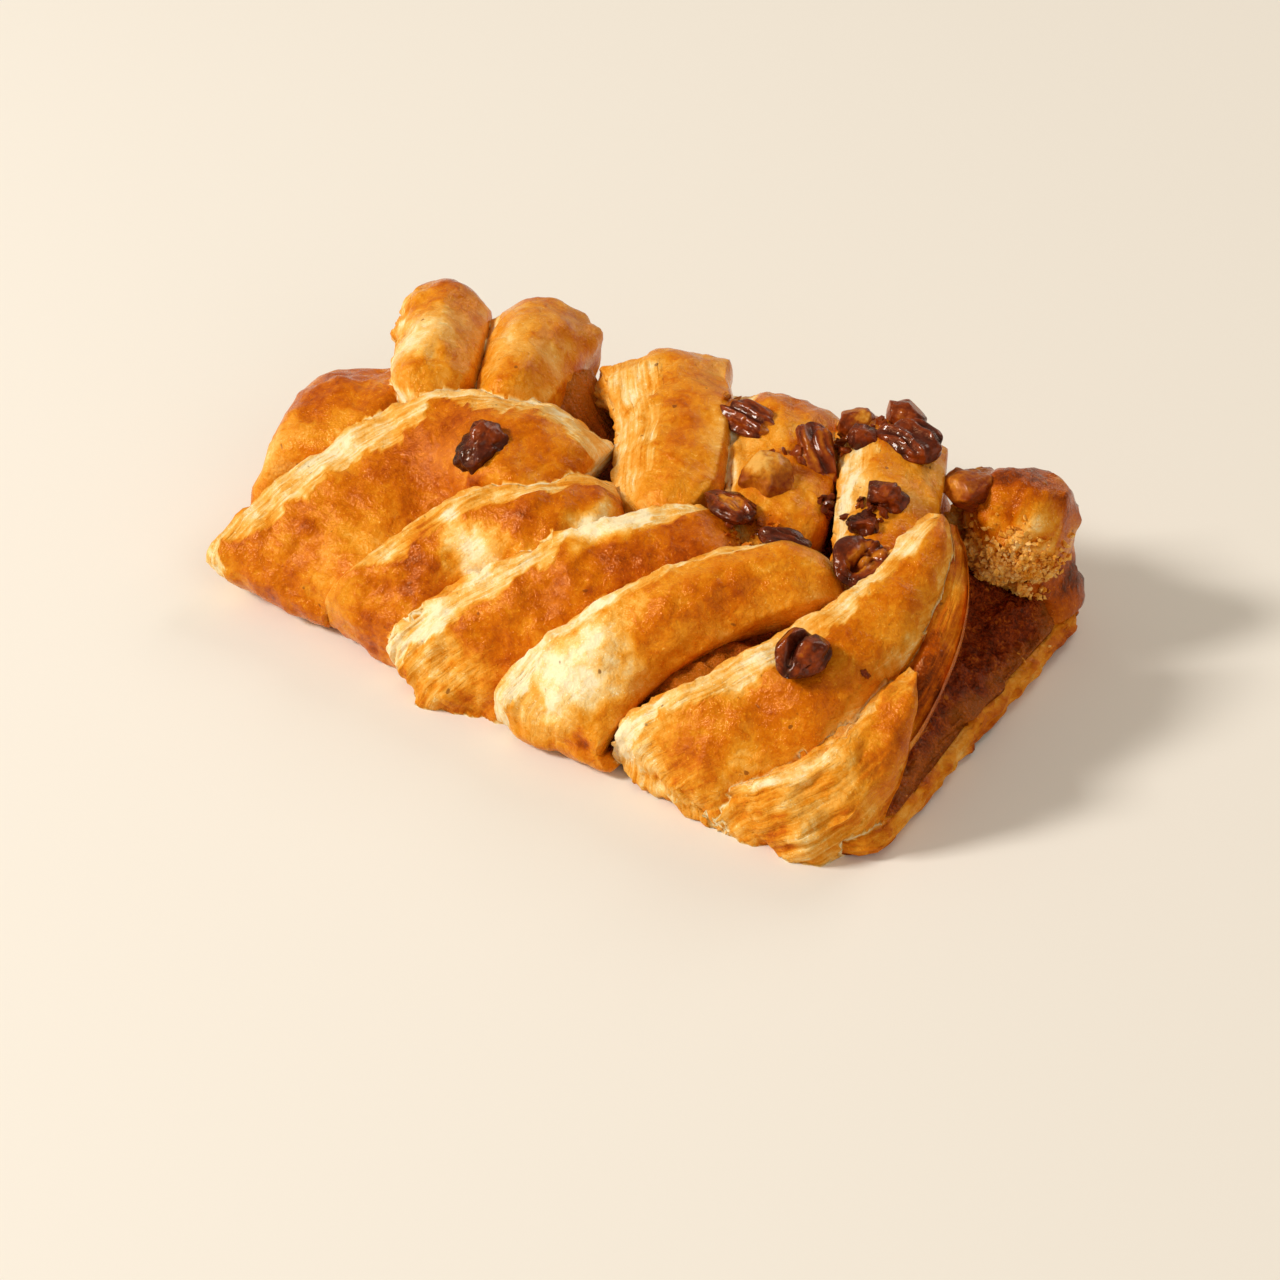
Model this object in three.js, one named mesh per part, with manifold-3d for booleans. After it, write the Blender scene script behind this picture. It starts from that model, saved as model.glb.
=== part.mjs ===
// A baked plait of puff pastry: crossed strips of dough folded over a caramel filling
// on a base sheet, topped with roasted pecan pieces. Millimetres, length along X, up is Z.
import * as THREE from 'three';
import { mergeVertices } from 'three/addons/utils/BufferGeometryUtils.js';
import Module from 'manifold-3d';

const wasm = await Module();
wasm.setup();

// Shift that puts the middle of the whole plait over the origin.
const FRAME_SHIFT = new THREE.Vector3(-0.569, 0.112, 0);

// Base sheet: rounded oblong, thin, with a wavy side.
const BASE_LEFT = -68;
const BASE_RIGHT = 75.5;
const BASE_NEAR = -38;
const BASE_FLARE = 3;
const BASE_FAR = 40;
const BASE_FAR_FLARE = 5;
const BASE_CORNER = 7;
const BASE_SPLITS = 64;
const BASE_WAVE = 0.9;
const BASE_CRAG = 1;
const BASE_SEED = 21;
const BASE_LEVELS = [
  { z: 0, inset: 2.4 },
  { z: 1, inset: 0.7 },
  { z: 2.6, inset: 0 },
  { z: 4.2, inset: 0.5 },
  { z: 5.2, inset: 1.8 },
];
const BASE_TOP = 5.2;

// Strips: the path of the upper edge of the cut side, from the root at the base to the tip.
// The section lies to the +X side of that path, rolled so that the other side is tucked down.
const NEAR = -1;
const FAR = 1;
const STRIP_SECTIONS = 12;
const BEND_SECTION = 6;
const TOP_POINTS = 7;
const CUT_POINTS = 4;
const CUT_STEP = 0.55;
const SWELL = 0.55;
const CRAG_REACH = 0.35;
const SLIT_OPENING = 0.3;
const CROWN_POWER = 0.8;
const TIP_START = 0.86;
const Z_AXIS = new THREE.Vector3(0, 0, 1);
const STRIPS = [
  { name: 'near_1', side: NEAR,
    edge: [[-70, -36.8, 1], [-69.5, -38.5, 12], [-52, -5, 31], [-34, 9, 34.5], [-9, 12.5, 31.5]],
    width: [27, 28, 26], thick: 11, rootRoll: 0, roll: 12, crown: 3, slit: 0.3,
    taper: 0.18, seed: 1, crag: 0.3, cragAtTip: false },
  { name: 'near_2', side: NEAR,
    edge: [[-43, -38, 1], [-41, -39.5, 12], [-22, -19, 31], [-9, -5, 32], [-4, 1, 31]],
    width: [18, 22, 18], thick: 9, rootRoll: 0, roll: 24, crown: 3, slit: 0.25,
    taper: 0.3, seed: 2, crag: 0.3, cragAtTip: false },
  { name: 'near_3', side: NEAR,
    edge: [[-28, -40.5, 1], [-24, -41.5, 12], [-7, -27.5, 26], [9, -9, 32], [22, 2.5, 31.5]],
    width: [30, 24, 19], thick: 9, rootRoll: -8, roll: 24, crown: 3.2, slit: 0.05,
    taper: 0.4, seed: 3, crag: 1.2, cragAtTip: false },
  { name: 'near_4', side: NEAR,
    edge: [[0, -44.5, 1], [1, -44.5, 12], [16, -27, 28], [33, -8.5, 33.5], [46, 0, 31]],
    width: [25, 17.5, 14], thick: 10, rootRoll: 0, roll: 24, crown: 4, slit: 0.2,
    taper: 0.45, seed: 4, crag: 0.3, cragAtTip: false },
  { name: 'near_5', side: NEAR,
    edge: [[24, -43.5, 1], [26, -44, 12], [42, -31.5, 25.5], [55.5, -5, 35], [56, 11, 38.5]],
    width: [28, 24, 7], thick: 9, rootRoll: -3, roll: 18, crown: 3.4, slit: 0.05,
    taper: 0.45, seed: 5, crag: 0.9, cragAtTip: false },
  { name: 'near_6', side: NEAR,
    edge: [[56, -38, 1], [58, -37, 12], [65.5, -22, 20.5], [65.5, -5, 30], [58.5, 10, 36.5]],
    width: [14, 8.5, 5], thick: 7, rootRoll: 0, roll: 12, crown: 1.6, slit: 0.2,
    taper: 0.45, seed: 6, crag: 0.8, cragAtTip: false },
  { name: 'near_7', side: NEAR,
    edge: [[44, -46.3, 1], [50.5, -46, 9.5], [60.5, -40.5, 15.5], [66, -33.5, 20.8], [70.5, -19, 27.5]],
    width: [26, 20, 2], thick: 6, rootRoll: 5, roll: 42, crown: 3.5, slit: 0.02,
    taper: 0.45, seed: 14, crag: 0.8, cragAtTip: false },
  { name: 'far_2', side: FAR,
    edge: [[-73, 38.5, 1], [-74, 40, 12], [-71, 29, 32.5], [-60, 9, 33], [-53, -4, 30]],
    width: [19, 18, 16], thick: 10, rootRoll: 0, roll: 0, crown: 5, slit: 0.1,
    taper: 0.45, seed: 7, crag: 0.4, cragAtTip: true },
  { name: 'far_3', side: FAR,
    edge: [[-56, 40.5, 1], [-58, 42, 12], [-54, 34, 29.5], [-44, 14, 29.5], [-38, 2, 26.5]],
    width: [24, 23, 14], thick: 9, rootRoll: 0, roll: 2, crown: 7.5, slit: 0.1,
    taper: 0.45, seed: 8, crag: 0.8, cragAtTip: true },
  { name: 'far_4', side: FAR,
    edge: [[-30, 41, 1], [-31, 42, 12], [-25.5, 31.5, 31], [-11, 12, 31], [1, -10, 25]],
    width: [26, 24, 20], thick: 10, rootRoll: 0, roll: -6, crown: 3, slit: 0.1,
    taper: 0.45, seed: 9, crag: 0.5, cragAtTip: true },
  { name: 'far_5', side: FAR,
    edge: [[0, 41.5, 1], [-2, 42.5, 12], [2, 33, 31.5], [13, 14, 31.5], [24, -7, 25]],
    width: [26, 22, 18], thick: 10, rootRoll: 0, roll: 4, crown: 3.5, slit: 0.1,
    taper: 0.45, seed: 10, crag: 0.6, cragAtTip: true },
  { name: 'far_6', side: FAR,
    edge: [[26, 42, 1], [24, 43, 12], [26.5, 34, 34], [37, 14, 34], [46, -7, 27]],
    width: [25, 20, 16], thick: 10, rootRoll: 0, roll: 6, crown: 3.5, slit: 0.1,
    taper: 0.45, seed: 11, crag: 0.6, cragAtTip: true },
  { name: 'far_7', side: FAR,
    edge: [[51, 44, 1], [50, 44.5, 12], [51.5, 39.5, 27], [53.5, 32.5, 29], [57, 26.5, 12]],
    width: [25, 20, 18], thick: 13, rootRoll: 0, roll: 4, crown: 5, slit: 0.1,
    taper: 0.2, seed: 12, crag: 1.4, cragAtTip: true },
];

// End flap: the sheet's left end turned up and over the filling.
const FLAP = {
  name: 'end_flap', edge: [[-66, 18, 3], [-71, 17, 10], [-69, 16, 20.5], [-50, 16, 24]],
  width: [50, 34, 28], thick: 9, rootRoll: 0, roll: 0, crown: 6.5, slit: 0.25, taper: 0.45,
  seed: 13, crag: 0.6, cragAtTip: false,
};

// Caramel filling: a dome under the strips that thins to a layer at the open right end.
const FILLING_LEFT = -60;
const FILLING_RIGHT = 72.5;
const FILLING_HALF_WIDTH = 33;
const FILLING_HEIGHT = 15.3;
const FILLING_LAYER = 3;
const FILLING_STEP_START = 55;
const FILLING_STEP_END = 65;
const FILLING_SPREAD = 4;
const FILLING_END = 9;
const FILLING_THIN_START = 66;
const FILLING_THIN = 0.6;
const FILLING_SECTIONS = 21;
const FILLING_POINTS = 17;
const FILLING_BULGES = [
  { x: 36, side: -1, out: 4, up: 2, reach: 12 },
  { x: -30, side: 1, out: 5, up: 12, reach: 10 },
];
const GAP = 0.3;

// Pecan pieces: centre, sizes along, across and up, then turns about Z, Y and X in degrees.
const HALF_SPLITS = 14;
const HALF_STACKS = 8;
const CHUNK_JITTER = 0.2;
const GROOVE_DEPTH = 0.32;
const GROOVE_WIDTH = 0.22;
const FURROW_DEPTH = 0.14;
const FURROW_WIDTH = 0.16;
const FURROW_PLACE = 0.62;
const BELLY = 0.75;
const PECAN_HALVES = [
  { at: [12.3, 22.1, 35], size: [13.5, 8, 6], turn: [-10, 0, 8] },
  { at: [28.9, 20.6, 34.5], size: [14, 8, 6], turn: [-40, 30, 15] },
  { at: [22.1, 0.1, 31.5], size: [11, 8, 5], turn: [-19, 0, -10] },
  { at: [44.4, 27.5, 38.3], size: [12.5, 10, 6], turn: [-23, 4, 5] },
  { at: [51.5, -3.6, 32.8], size: [13, 9, 6], turn: [86, -8, 20] },
  { at: [53.3, -27.8, 29.8], size: [12, 10, 7], turn: [92, -18, 6] },
  { at: [37, -6.4, 33.6], size: [9.5, 6, 4.5], turn: [6, 0, -20] },
];
const PECAN_CHUNKS = [
  { at: [-26.3, -9.2, 32.7], size: [9.5, 8.5, 7], turn: [-32, 0, 20] },
  { at: [24.5, 10, 34], size: [9.5, 8, 6], turn: [-10, 0, 15] },
  { at: [35.4, 25.3, 37.6], size: [7, 5.5, 5], turn: [10, 0, 0] },
  { at: [31.2, 29.9, 36.6], size: [7, 6, 5.5], turn: [65, 0, 0] },
  { at: [38.5, 35.5, 37.6], size: [8, 6.5, 5.5], turn: [0, 10, 0] },
  { at: [48.2, 11.5, 36.4], size: [8.5, 7, 6], turn: [-22, 0, 12] },
  { at: [47.2, 5.3, 34.2], size: [7, 5.5, 5], turn: [5, 0, 15] },
  { at: [56.3, 28.2, 32.2], size: [8.5, 7.5, 6.5], turn: [-25, 0, 0] },
  { at: [66, 34.5, 32.6], size: [10, 4.5, 4], turn: [-14, 8, 0] },
];

// Flat surface that the plait rests on.
const FLOOR_SIZE = 400;

// Colours of the baked crust, the caramel and the roasted nuts.
const CRUST_COLOUR = 0xcd7d28;
const CARAMEL_COLOUR = 0x5a230a;
const HALF_COLOUR = 0x4a2010;
const CHUNK_COLOUR = 0x5c2c14;

function smoothstep(from, to, value) {
  const t = THREE.MathUtils.clamp((value - from) / (to - from), 0, 1);
  return t * t * (3 - 2 * t);
}

function between(values, t) {
  const place = t * (values.length - 1);
  const index = Math.min(Math.floor(place), values.length - 2);
  return THREE.MathUtils.lerp(values[index], values[index + 1], place - index);
}

function seededRandom(seed) {
  let state = seed * 7919 + 17;
  return () => {
    state = (state * 16807) % 2147483647;
    return state / 2147483647;
  };
}

// Slow swell of the baked surface at a place, from -1 to 1.
function swell(p) {
  const a = Math.sin(p.x * 0.31 + p.z * 0.22) * Math.sin(p.y * 0.37 - 0.8);
  const b = Math.sin(p.x * 0.17 - p.y * 0.23 + p.z * 0.29 + 1.3);
  return 0.55 * a + 0.45 * b;
}

function toManifold(positions, triangles) {
  const mesh = new wasm.Mesh({
    numProp: 3,
    vertProperties: new Float32Array(positions),
    triVerts: new Uint32Array(triangles),
  });
  const solid = new wasm.Manifold(mesh);
  if (solid.volume() > 0) {
    return solid;
  }
  const turned = [];
  for (let i = 0; i < triangles.length; i += 3) {
    turned.push(triangles[i], triangles[i + 2], triangles[i + 1]);
  }
  mesh.triVerts = new Uint32Array(turned);
  return new wasm.Manifold(mesh);
}

function fromGeometry(geometry) {
  const bare = geometry.clone();
  bare.deleteAttribute('normal');
  bare.deleteAttribute('uv');
  const merged = mergeVertices(bare);
  return toManifold(merged.attributes.position.array, merged.index.array);
}

// Closed skin over rings with equal numbers of points, with a fan at each end.
function skin(rings) {
  const count = rings[0].length;
  const positions = [];
  const triangles = [];
  for (const ring of rings) {
    for (const p of ring) {
      positions.push(p.x, p.y, p.z);
    }
  }
  for (let i = 0; i + 1 < rings.length; i += 1) {
    for (let j = 0; j < count; j += 1) {
      const a = i * count + j;
      const b = i * count + ((j + 1) % count);
      triangles.push(a, b, b + count, a, b + count, a + count);
    }
  }
  for (const end of [0, rings.length - 1]) {
    const middle = new THREE.Vector3();
    for (const p of rings[end]) {
      middle.addScaledVector(p, 1 / count);
    }
    const hub = positions.length / 3;
    positions.push(middle.x, middle.y, middle.z);
    for (let j = 0; j < count; j += 1) {
      const a = end * count + j;
      const b = end * count + ((j + 1) % count);
      if (end === 0) {
        triangles.push(hub, b, a);
      } else {
        triangles.push(hub, a, b);
      }
    }
  }
  return toManifold(positions, triangles);
}

// Section of a strip: crowned top, tucked side, flat underside and stepped cut side.
function stripSection(width, thick, crown) {
  const points = [];
  for (let i = 0; i < TOP_POINTS; i += 1) {
    const a = i / (TOP_POINTS - 1);
    points.push([a * width, crown * Math.sin(Math.PI * a) ** CROWN_POWER]);
  }
  points.push([width * 1.02, -0.35 * thick]);
  points.push([width * 0.97, -0.75 * thick]);
  points.push([width * 0.85, -thick]);
  points.push([width * 0.5, -thick]);
  points.push([width * 0.12, -thick]);
  for (let i = CUT_POINTS; i > 0; i -= 1) {
    const out = i % 2 === 0 ? CUT_STEP : -CUT_STEP * 0.4;
    points.push([-out, (-0.86 * thick * i) / CUT_POINTS]);
  }
  return points;
}

// Strip swept along its path, joined from two halves so that a tight bend can't overlap itself.
function sweepStrip(strip, outward, flip) {
  const curve = new THREE.CatmullRomCurve3(strip.edge.map((p) => new THREE.Vector3(...p)));
  const path = curve.getSpacedPoints(STRIP_SECTIONS - 1);
  const random = seededRandom(strip.seed);
  const rings = [];
  for (let i = 0; i < path.length; i += 1) {
    const t = i / (path.length - 1);
    const before = path[Math.max(i - 1, 0)];
    const after = path[Math.min(i + 1, path.length - 1)];
    const along = after.clone().sub(before).normalize();
    const level = 1 - Math.abs(along.z);
    const out = outward.clone().multiplyScalar(along.z).addScaledVector(Z_AXIS, level);
    out.addScaledVector(along, -out.dot(along)).normalize();
    const side = new THREE.Vector3().crossVectors(along, out).multiplyScalar(flip);
    const open = smoothstep(strip.slit, strip.slit + SLIT_OPENING, t);
    const roll = THREE.MathUtils.degToRad(THREE.MathUtils.lerp(strip.rootRoll, strip.roll, open));
    const tuck = side.clone().multiplyScalar(Math.cos(roll)).addScaledVector(out, -Math.sin(roll));
    const lift = out.clone().multiplyScalar(Math.cos(roll)).addScaledVector(side, Math.sin(roll));
    const end = 1 - strip.taper * smoothstep(TIP_START, 1, t) ** 2;
    const width = between(strip.width, t) * end;
    const thick = strip.thick * (0.8 + 0.2 * smoothstep(0, 0.25, t)) * end;
    const crown = strip.crown * (0.3 + 0.7 * open) * end;
    const inset = 0.5 * between(strip.width, t) * (1 - end);
    const fromCrag = strip.cragAtTip ? 1 - t : t;
    const crag = strip.crag * (1 - 0.75 * smoothstep(CRAG_REACH, CRAG_REACH + 0.2, fromCrag));
    const ring = stripSection(width, thick, crown).map(([a, b]) => {
      const p = path[i].clone().addScaledVector(tuck, a + inset).addScaledVector(lift, b);
      p.addScaledVector(tuck, crag * (random() - 0.5));
      return p.addScaledVector(lift, SWELL * swell(p) + crag * (random() - 0.5));
    });
    rings.push(ring);
  }
  return skin(rings.slice(0, BEND_SECTION + 1)).add(skin(rings.slice(BEND_SECTION)));
}

function plaitStrip(strip) {
  return sweepStrip(strip, new THREE.Vector3(0, strip.side, 0), -strip.side);
}

function endFlap() {
  return sweepStrip(FLAP, new THREE.Vector3(-1, 0, 0), 1);
}

// Rounded oblong outline of the base sheet, drawn in by the inset.
function baseRing(z, inset, random) {
  const halfX = (BASE_RIGHT - BASE_LEFT) / 2;
  const halfY = (BASE_FAR - BASE_NEAR) / 2;
  const midX = (BASE_RIGHT + BASE_LEFT) / 2;
  const midY = (BASE_FAR + BASE_NEAR) / 2;
  const shape = new THREE.Shape();
  const x = halfX - BASE_CORNER;
  const y = halfY - BASE_CORNER;
  shape.absarc(x, -y, BASE_CORNER, -Math.PI / 2, 0, false);
  shape.absarc(x, y, BASE_CORNER, 0, Math.PI / 2, false);
  shape.absarc(-x, y, BASE_CORNER, Math.PI / 2, Math.PI, false);
  shape.absarc(-x, -y, BASE_CORNER, Math.PI, 1.5 * Math.PI, false);
  shape.closePath();
  const spaced = shape.getSpacedPoints(BASE_SPLITS).slice(0, BASE_SPLITS);
  return spaced.map((p) => {
    const wave = BASE_WAVE * Math.sin(p.x * 0.21 + 0.6) * Math.sin(p.y * 0.13 + 0.9);
    const crag = BASE_CRAG * (random() - 0.5);
    const reach = 1 - (inset - wave - crag) / p.length();
    const flare = 1 + ((p.y < 0 ? BASE_FLARE : BASE_FAR_FLARE) * p.x) / (halfX * halfY);
    return new THREE.Vector3(midX + p.x * reach, midY + p.y * reach * flare, z);
  });
}

function baseSheet() {
  const random = seededRandom(BASE_SEED);
  return skin(BASE_LEVELS.map((level) => baseRing(level.z, level.inset, random)));
}

// How far the filling swells out and up between two strips on one side.
function fillingBulge(x, side) {
  let out = 0;
  let up = 0;
  for (const bulge of FILLING_BULGES) {
    if (bulge.side === side) {
      const near = Math.exp(-(((x - bulge.x) / bulge.reach) ** 2) * 2);
      out += bulge.out * near;
      up += bulge.up * near;
    }
  }
  return { out, up };
}

// Filling with its skin moved out by the given margin.
function fillingBody(margin) {
  const rings = [];
  for (let i = 0; i < FILLING_SECTIONS; i += 1) {
    const t = i / (FILLING_SECTIONS - 1);
    const x = THREE.MathUtils.lerp(FILLING_LEFT, FILLING_RIGHT, t);
    const push = i === 0 ? -margin : i === FILLING_SECTIONS - 1 ? margin : 0;
    const fromLeft = smoothstep(FILLING_LEFT - 1, FILLING_LEFT + FILLING_END, x) ** 0.5;
    const fall = smoothstep(FILLING_STEP_START, FILLING_STEP_END, x);
    const drop = smoothstep(FILLING_STEP_START, FILLING_STEP_END, x - 2 * margin);
    const thin = 1 - FILLING_THIN * smoothstep(FILLING_THIN_START, FILLING_RIGHT, x);
    const body = THREE.MathUtils.lerp(FILLING_HEIGHT * (0.35 + 0.65 * fromLeft), FILLING_LAYER, drop) * thin;
    const half = FILLING_HALF_WIDTH * (0.8 + 0.2 * fromLeft) + FILLING_SPREAD * fall + margin;
    const height = body + 2 * margin;
    const ring = [];
    for (let j = 0; j < FILLING_POINTS; j += 1) {
      const angle = (Math.PI * j) / (FILLING_POINTS - 1);
      const c = Math.cos(angle);
      const s = Math.sin(angle);
      const bulge = fillingBulge(x, Math.sign(c));
      const y = (half + bulge.out * s ** 0.5) * Math.sign(c) * Math.abs(c) ** 0.7;
      const z = BASE_TOP + GAP - margin + height * s ** 0.6 + bulge.up * 2 * Math.abs(c) * s;
      ring.push(new THREE.Vector3(x + push, y, z));
    }
    ring.push(new THREE.Vector3(x + push, 0, BASE_TOP + GAP - margin * 1.2));
    rings.push(ring);
  }
  return skin(rings);
}

// Half kernel: a long dome with a deep groove down its back and a furrow at each side.
function pecanHalf() {
  const kernel = new THREE.SphereGeometry(1, HALF_SPLITS, HALF_STACKS).rotateZ(Math.PI / 2);
  kernel.deleteAttribute('normal');
  kernel.deleteAttribute('uv');
  const places = kernel.attributes.position;
  for (let i = 0; i < places.count; i += 1) {
    const y = places.getY(i);
    const z = places.getZ(i);
    const groove = GROOVE_DEPTH * Math.exp(-((y / GROOVE_WIDTH) ** 2));
    const furrow = FURROW_DEPTH * Math.exp(-(((Math.abs(y) - FURROW_PLACE) / FURROW_WIDTH) ** 2));
    places.setZ(i, z > 0 ? z * (1 - groove - furrow) : z * BELLY);
  }
  return mergeVertices(kernel);
}

// Broken piece: a rough pebble with corners moved by a seeded draw.
function pecanChunk(seed) {
  const pebble = new THREE.IcosahedronGeometry(1, 1);
  pebble.deleteAttribute('normal');
  pebble.deleteAttribute('uv');
  const merged = mergeVertices(pebble, 1e-3);
  const random = seededRandom(seed);
  const places = merged.attributes.position;
  for (let i = 0; i < places.count; i += 1) {
    const reach = 1 + CHUNK_JITTER * (2 * random() - 1);
    places.setXYZ(i, places.getX(i) * reach, places.getY(i) * reach, places.getZ(i) * reach);
  }
  return merged;
}

// One pecan piece, turned and set in its place; the margin makes it larger all round.
function pecan(name, kernel, piece, colour, margin) {
  const half = piece.size.map((length) => length / 2 + margin);
  const material = new THREE.MeshStandardMaterial({ color: colour, roughness: 0.32, metalness: 0 });
  const mesh = new THREE.Mesh(kernel.clone().scale(...half), material);
  const [turnZ, turnY, turnX] = piece.turn.map(THREE.MathUtils.degToRad);
  mesh.name = name;
  mesh.position.set(...piece.at);
  mesh.rotation.set(turnX, turnY, turnZ, 'ZYX');
  mesh.updateMatrix();
  return mesh;
}

function pecans(margin) {
  const halves = PECAN_HALVES.map((piece, i) => (
    pecan(`pecan_half_${i + 1}`, pecanHalf(), piece, HALF_COLOUR, margin)
  ));
  const chunks = PECAN_CHUNKS.map((piece, i) => (
    pecan(`pecan_chunk_${i + 1}`, pecanChunk(i + 1), piece, CHUNK_COLOUR, margin)
  ));
  return [...halves, ...chunks];
}

function floorBlock() {
  const block = new THREE.BoxGeometry(FLOOR_SIZE, FLOOR_SIZE, FLOOR_SIZE);
  block.translate(0, 0, -FLOOR_SIZE / 2);
  return fromGeometry(block);
}

// The one largest body of a solid, with pockets that are shut off filled.
function largestBody(solid) {
  let best = null;
  for (const piece of solid.decompose()) {
    if (!best || piece.volume() > best.volume()) {
      best = piece;
    }
  }
  return best;
}

function dough() {
  let solid = baseSheet().add(endFlap());
  for (const strip of STRIPS) {
    solid = solid.add(plaitStrip(strip));
  }
  solid = largestBody(solid.subtract(floorBlock())).subtract(fillingBody(GAP));
  for (const pocket of pecans(GAP)) {
    solid = solid.subtract(fromGeometry(pocket.geometry.clone().applyMatrix4(pocket.matrix)));
  }
  return largestBody(solid);
}

function toMesh(name, solid, colour, roughness) {
  const mesh = solid.getMesh();
  const geometry = new THREE.BufferGeometry();
  geometry.setAttribute('position', new THREE.BufferAttribute(mesh.vertProperties, 3));
  geometry.setIndex(new THREE.BufferAttribute(mesh.triVerts, 1));
  const material = new THREE.MeshStandardMaterial({ color: colour, roughness, metalness: 0 });
  const object = new THREE.Mesh(mergeVertices(geometry), material);
  object.name = name;
  return object;
}

const plait = new THREE.Group();
const pieces = new THREE.Group();
pieces.position.copy(FRAME_SHIFT);
pieces.add(toMesh('pastry', dough(), CRUST_COLOUR, 0.4));
pieces.add(toMesh('filling', fillingBody(0), CARAMEL_COLOUR, 0.25));
pieces.add(...pecans(0));
plait.add(pieces);

export default plait;
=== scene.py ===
"""Dresses a baked pecan plait: flaky strips of puff pastry crossed over caramel, with roasted nuts."""

import logging
import math
from dataclasses import dataclass, field
from enum import Enum

import bpy
import numpy as np
from mathutils import Euler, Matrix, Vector


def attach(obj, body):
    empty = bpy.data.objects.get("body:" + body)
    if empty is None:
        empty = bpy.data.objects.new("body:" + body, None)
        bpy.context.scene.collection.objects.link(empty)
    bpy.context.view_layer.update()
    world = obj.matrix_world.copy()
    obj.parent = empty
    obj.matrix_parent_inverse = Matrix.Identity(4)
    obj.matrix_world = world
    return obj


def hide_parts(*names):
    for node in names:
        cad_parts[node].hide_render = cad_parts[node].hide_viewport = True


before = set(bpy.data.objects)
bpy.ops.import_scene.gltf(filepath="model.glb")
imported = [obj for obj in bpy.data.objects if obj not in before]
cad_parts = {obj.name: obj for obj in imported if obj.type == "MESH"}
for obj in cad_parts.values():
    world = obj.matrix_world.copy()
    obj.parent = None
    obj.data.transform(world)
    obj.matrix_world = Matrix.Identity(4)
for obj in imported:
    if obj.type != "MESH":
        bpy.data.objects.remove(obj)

LOG = logging.getLogger("pecan_plait")
MM = 0.001
# Sizes and places below are in millimetres before the plait was centred, and this shift centres them.
FRAME_SHIFT = np.array((-0.569, 0.112, 0.0))
IMAGE_WIDTH_PX = 1280
BODY = "root"
CRUST_NUMBERS = ("bake", "flaky", "sheet", "run")
# Odd numbers and shifts that scramble a cell's place into a draw that repeats, and the gain of the result.
GRAIN_PRIMES = (374761393, 668265263, 1274126177)
SEED_PRIME = 974634777
MIXERS = ((13, 1103515245), (15, 2246822519))
LAST_SHIFT = 16
WORD = 0xFFFFFFFF
GRAIN_GAIN = 1.6


class Lean(Enum):
    """Which way the outside of a strip faces at its root."""

    NEAR = (0.0, -1.0, 0.0)
    FAR = (0.0, 1.0, 0.0)
    LEFT_END = (-1.0, 0.0, 0.0)


class Zone(Enum):
    """Parts of a strip's section, in the order in which the ring passes them."""

    TOP = 0
    TUCKED = 1
    UNDER = 2
    CUT = 3


class Slot(Enum):
    """Material slots of the part's record."""

    PASTRY = "pastry"
    FILLING = "filling"
    PECAN = "pecan"


def smoothstep(start: float, end: float, value: np.ndarray) -> np.ndarray:
    """Eased step from 0 to 1.

    Args:
        start: value where the step begins.
        end: value where the step is complete.
        value: where to read the step.

    Returns:
        The eased step at each value.
    """
    t = np.clip((value - start) / (end - start), 0.0, 1.0)
    return t * t * (3.0 - 2.0 * t)


def grain(points: np.ndarray, cell: float, seed: int) -> np.ndarray:
    """Smooth seeded noise in space.

    Args:
        points: places in millimetres, one row each.
        cell: size of one bump in millimetres.
        seed: number that picks the pattern.

    Returns:
        A value from -1 to 1 at each place.
    """
    scaled = points / cell
    corner = np.floor(scaled).astype(np.int64)
    part = scaled - corner
    ease = part * part * part * (part * (part * 6.0 - 15.0) + 10.0)
    total = np.zeros(len(points))
    for step in np.ndindex(2, 2, 2):
        place = corner + np.array(step)
        mixed = (place @ np.array(GRAIN_PRIMES) + seed * SEED_PRIME) & WORD
        for shift, factor in MIXERS:
            mixed = ((mixed ^ (mixed >> shift)) * factor) & WORD
        draw = (mixed ^ (mixed >> LAST_SHIFT)) / (WORD / 2.0) - 1.0
        weight = np.prod(np.where(np.array(step) == 1, ease, 1.0 - ease), axis=1)
        total += weight * draw
    return total * GRAIN_GAIN


def terraces(points: np.ndarray, cell: float, seed: int) -> np.ndarray:
    """Stepped noise, as where thin baked sheets have broken away one over another.

    Args:
        points: places in millimetres, one row each.
        cell: size of one broken sheet in millimetres.
        seed: number that picks the pattern.

    Returns:
        A stepped value from about -1 to 1 at each place.
    """
    rough = 3.0 * (grain(points, cell, seed) + 0.45 * grain(points, cell * 0.42, seed + 1))
    whole = np.floor(rough)
    return (whole + smoothstep(0.7, 1.0, rough - whole)) / 3.0


def ridges(points: np.ndarray, cell: float, seed: int) -> np.ndarray:
    """Noise with sharp crests, as where thin sheets have crinkled.

    Args:
        points: places, one row each.
        cell: size of one crinkle in the same unit.
        seed: number that picks the pattern.

    Returns:
        A value from about -0.5 to 0.5, highest on the crests.
    """
    coarse = 1.0 - np.abs(grain(points, cell, seed))
    fine = 1.0 - np.abs(grain(points, cell * 0.45, seed + 1))
    return 0.65 * coarse + 0.35 * fine - 0.6


def linear_colour(code: str) -> tuple[float, float, float, float]:
    """Turns an sRGB hex colour into a linear one.

    Args:
        code: colour such as "#cd7d28".

    Returns:
        Linear red, green, blue and full opacity.
    """
    parts = [int(code[k : k + 2], 16) / 255.0 for k in (1, 3, 5)]
    linear = [c / 12.92 if c <= 0.04045 else ((c + 0.055) / 1.055) ** 2.4 for c in parts]
    return (linear[0], linear[1], linear[2], 1.0)


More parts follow.
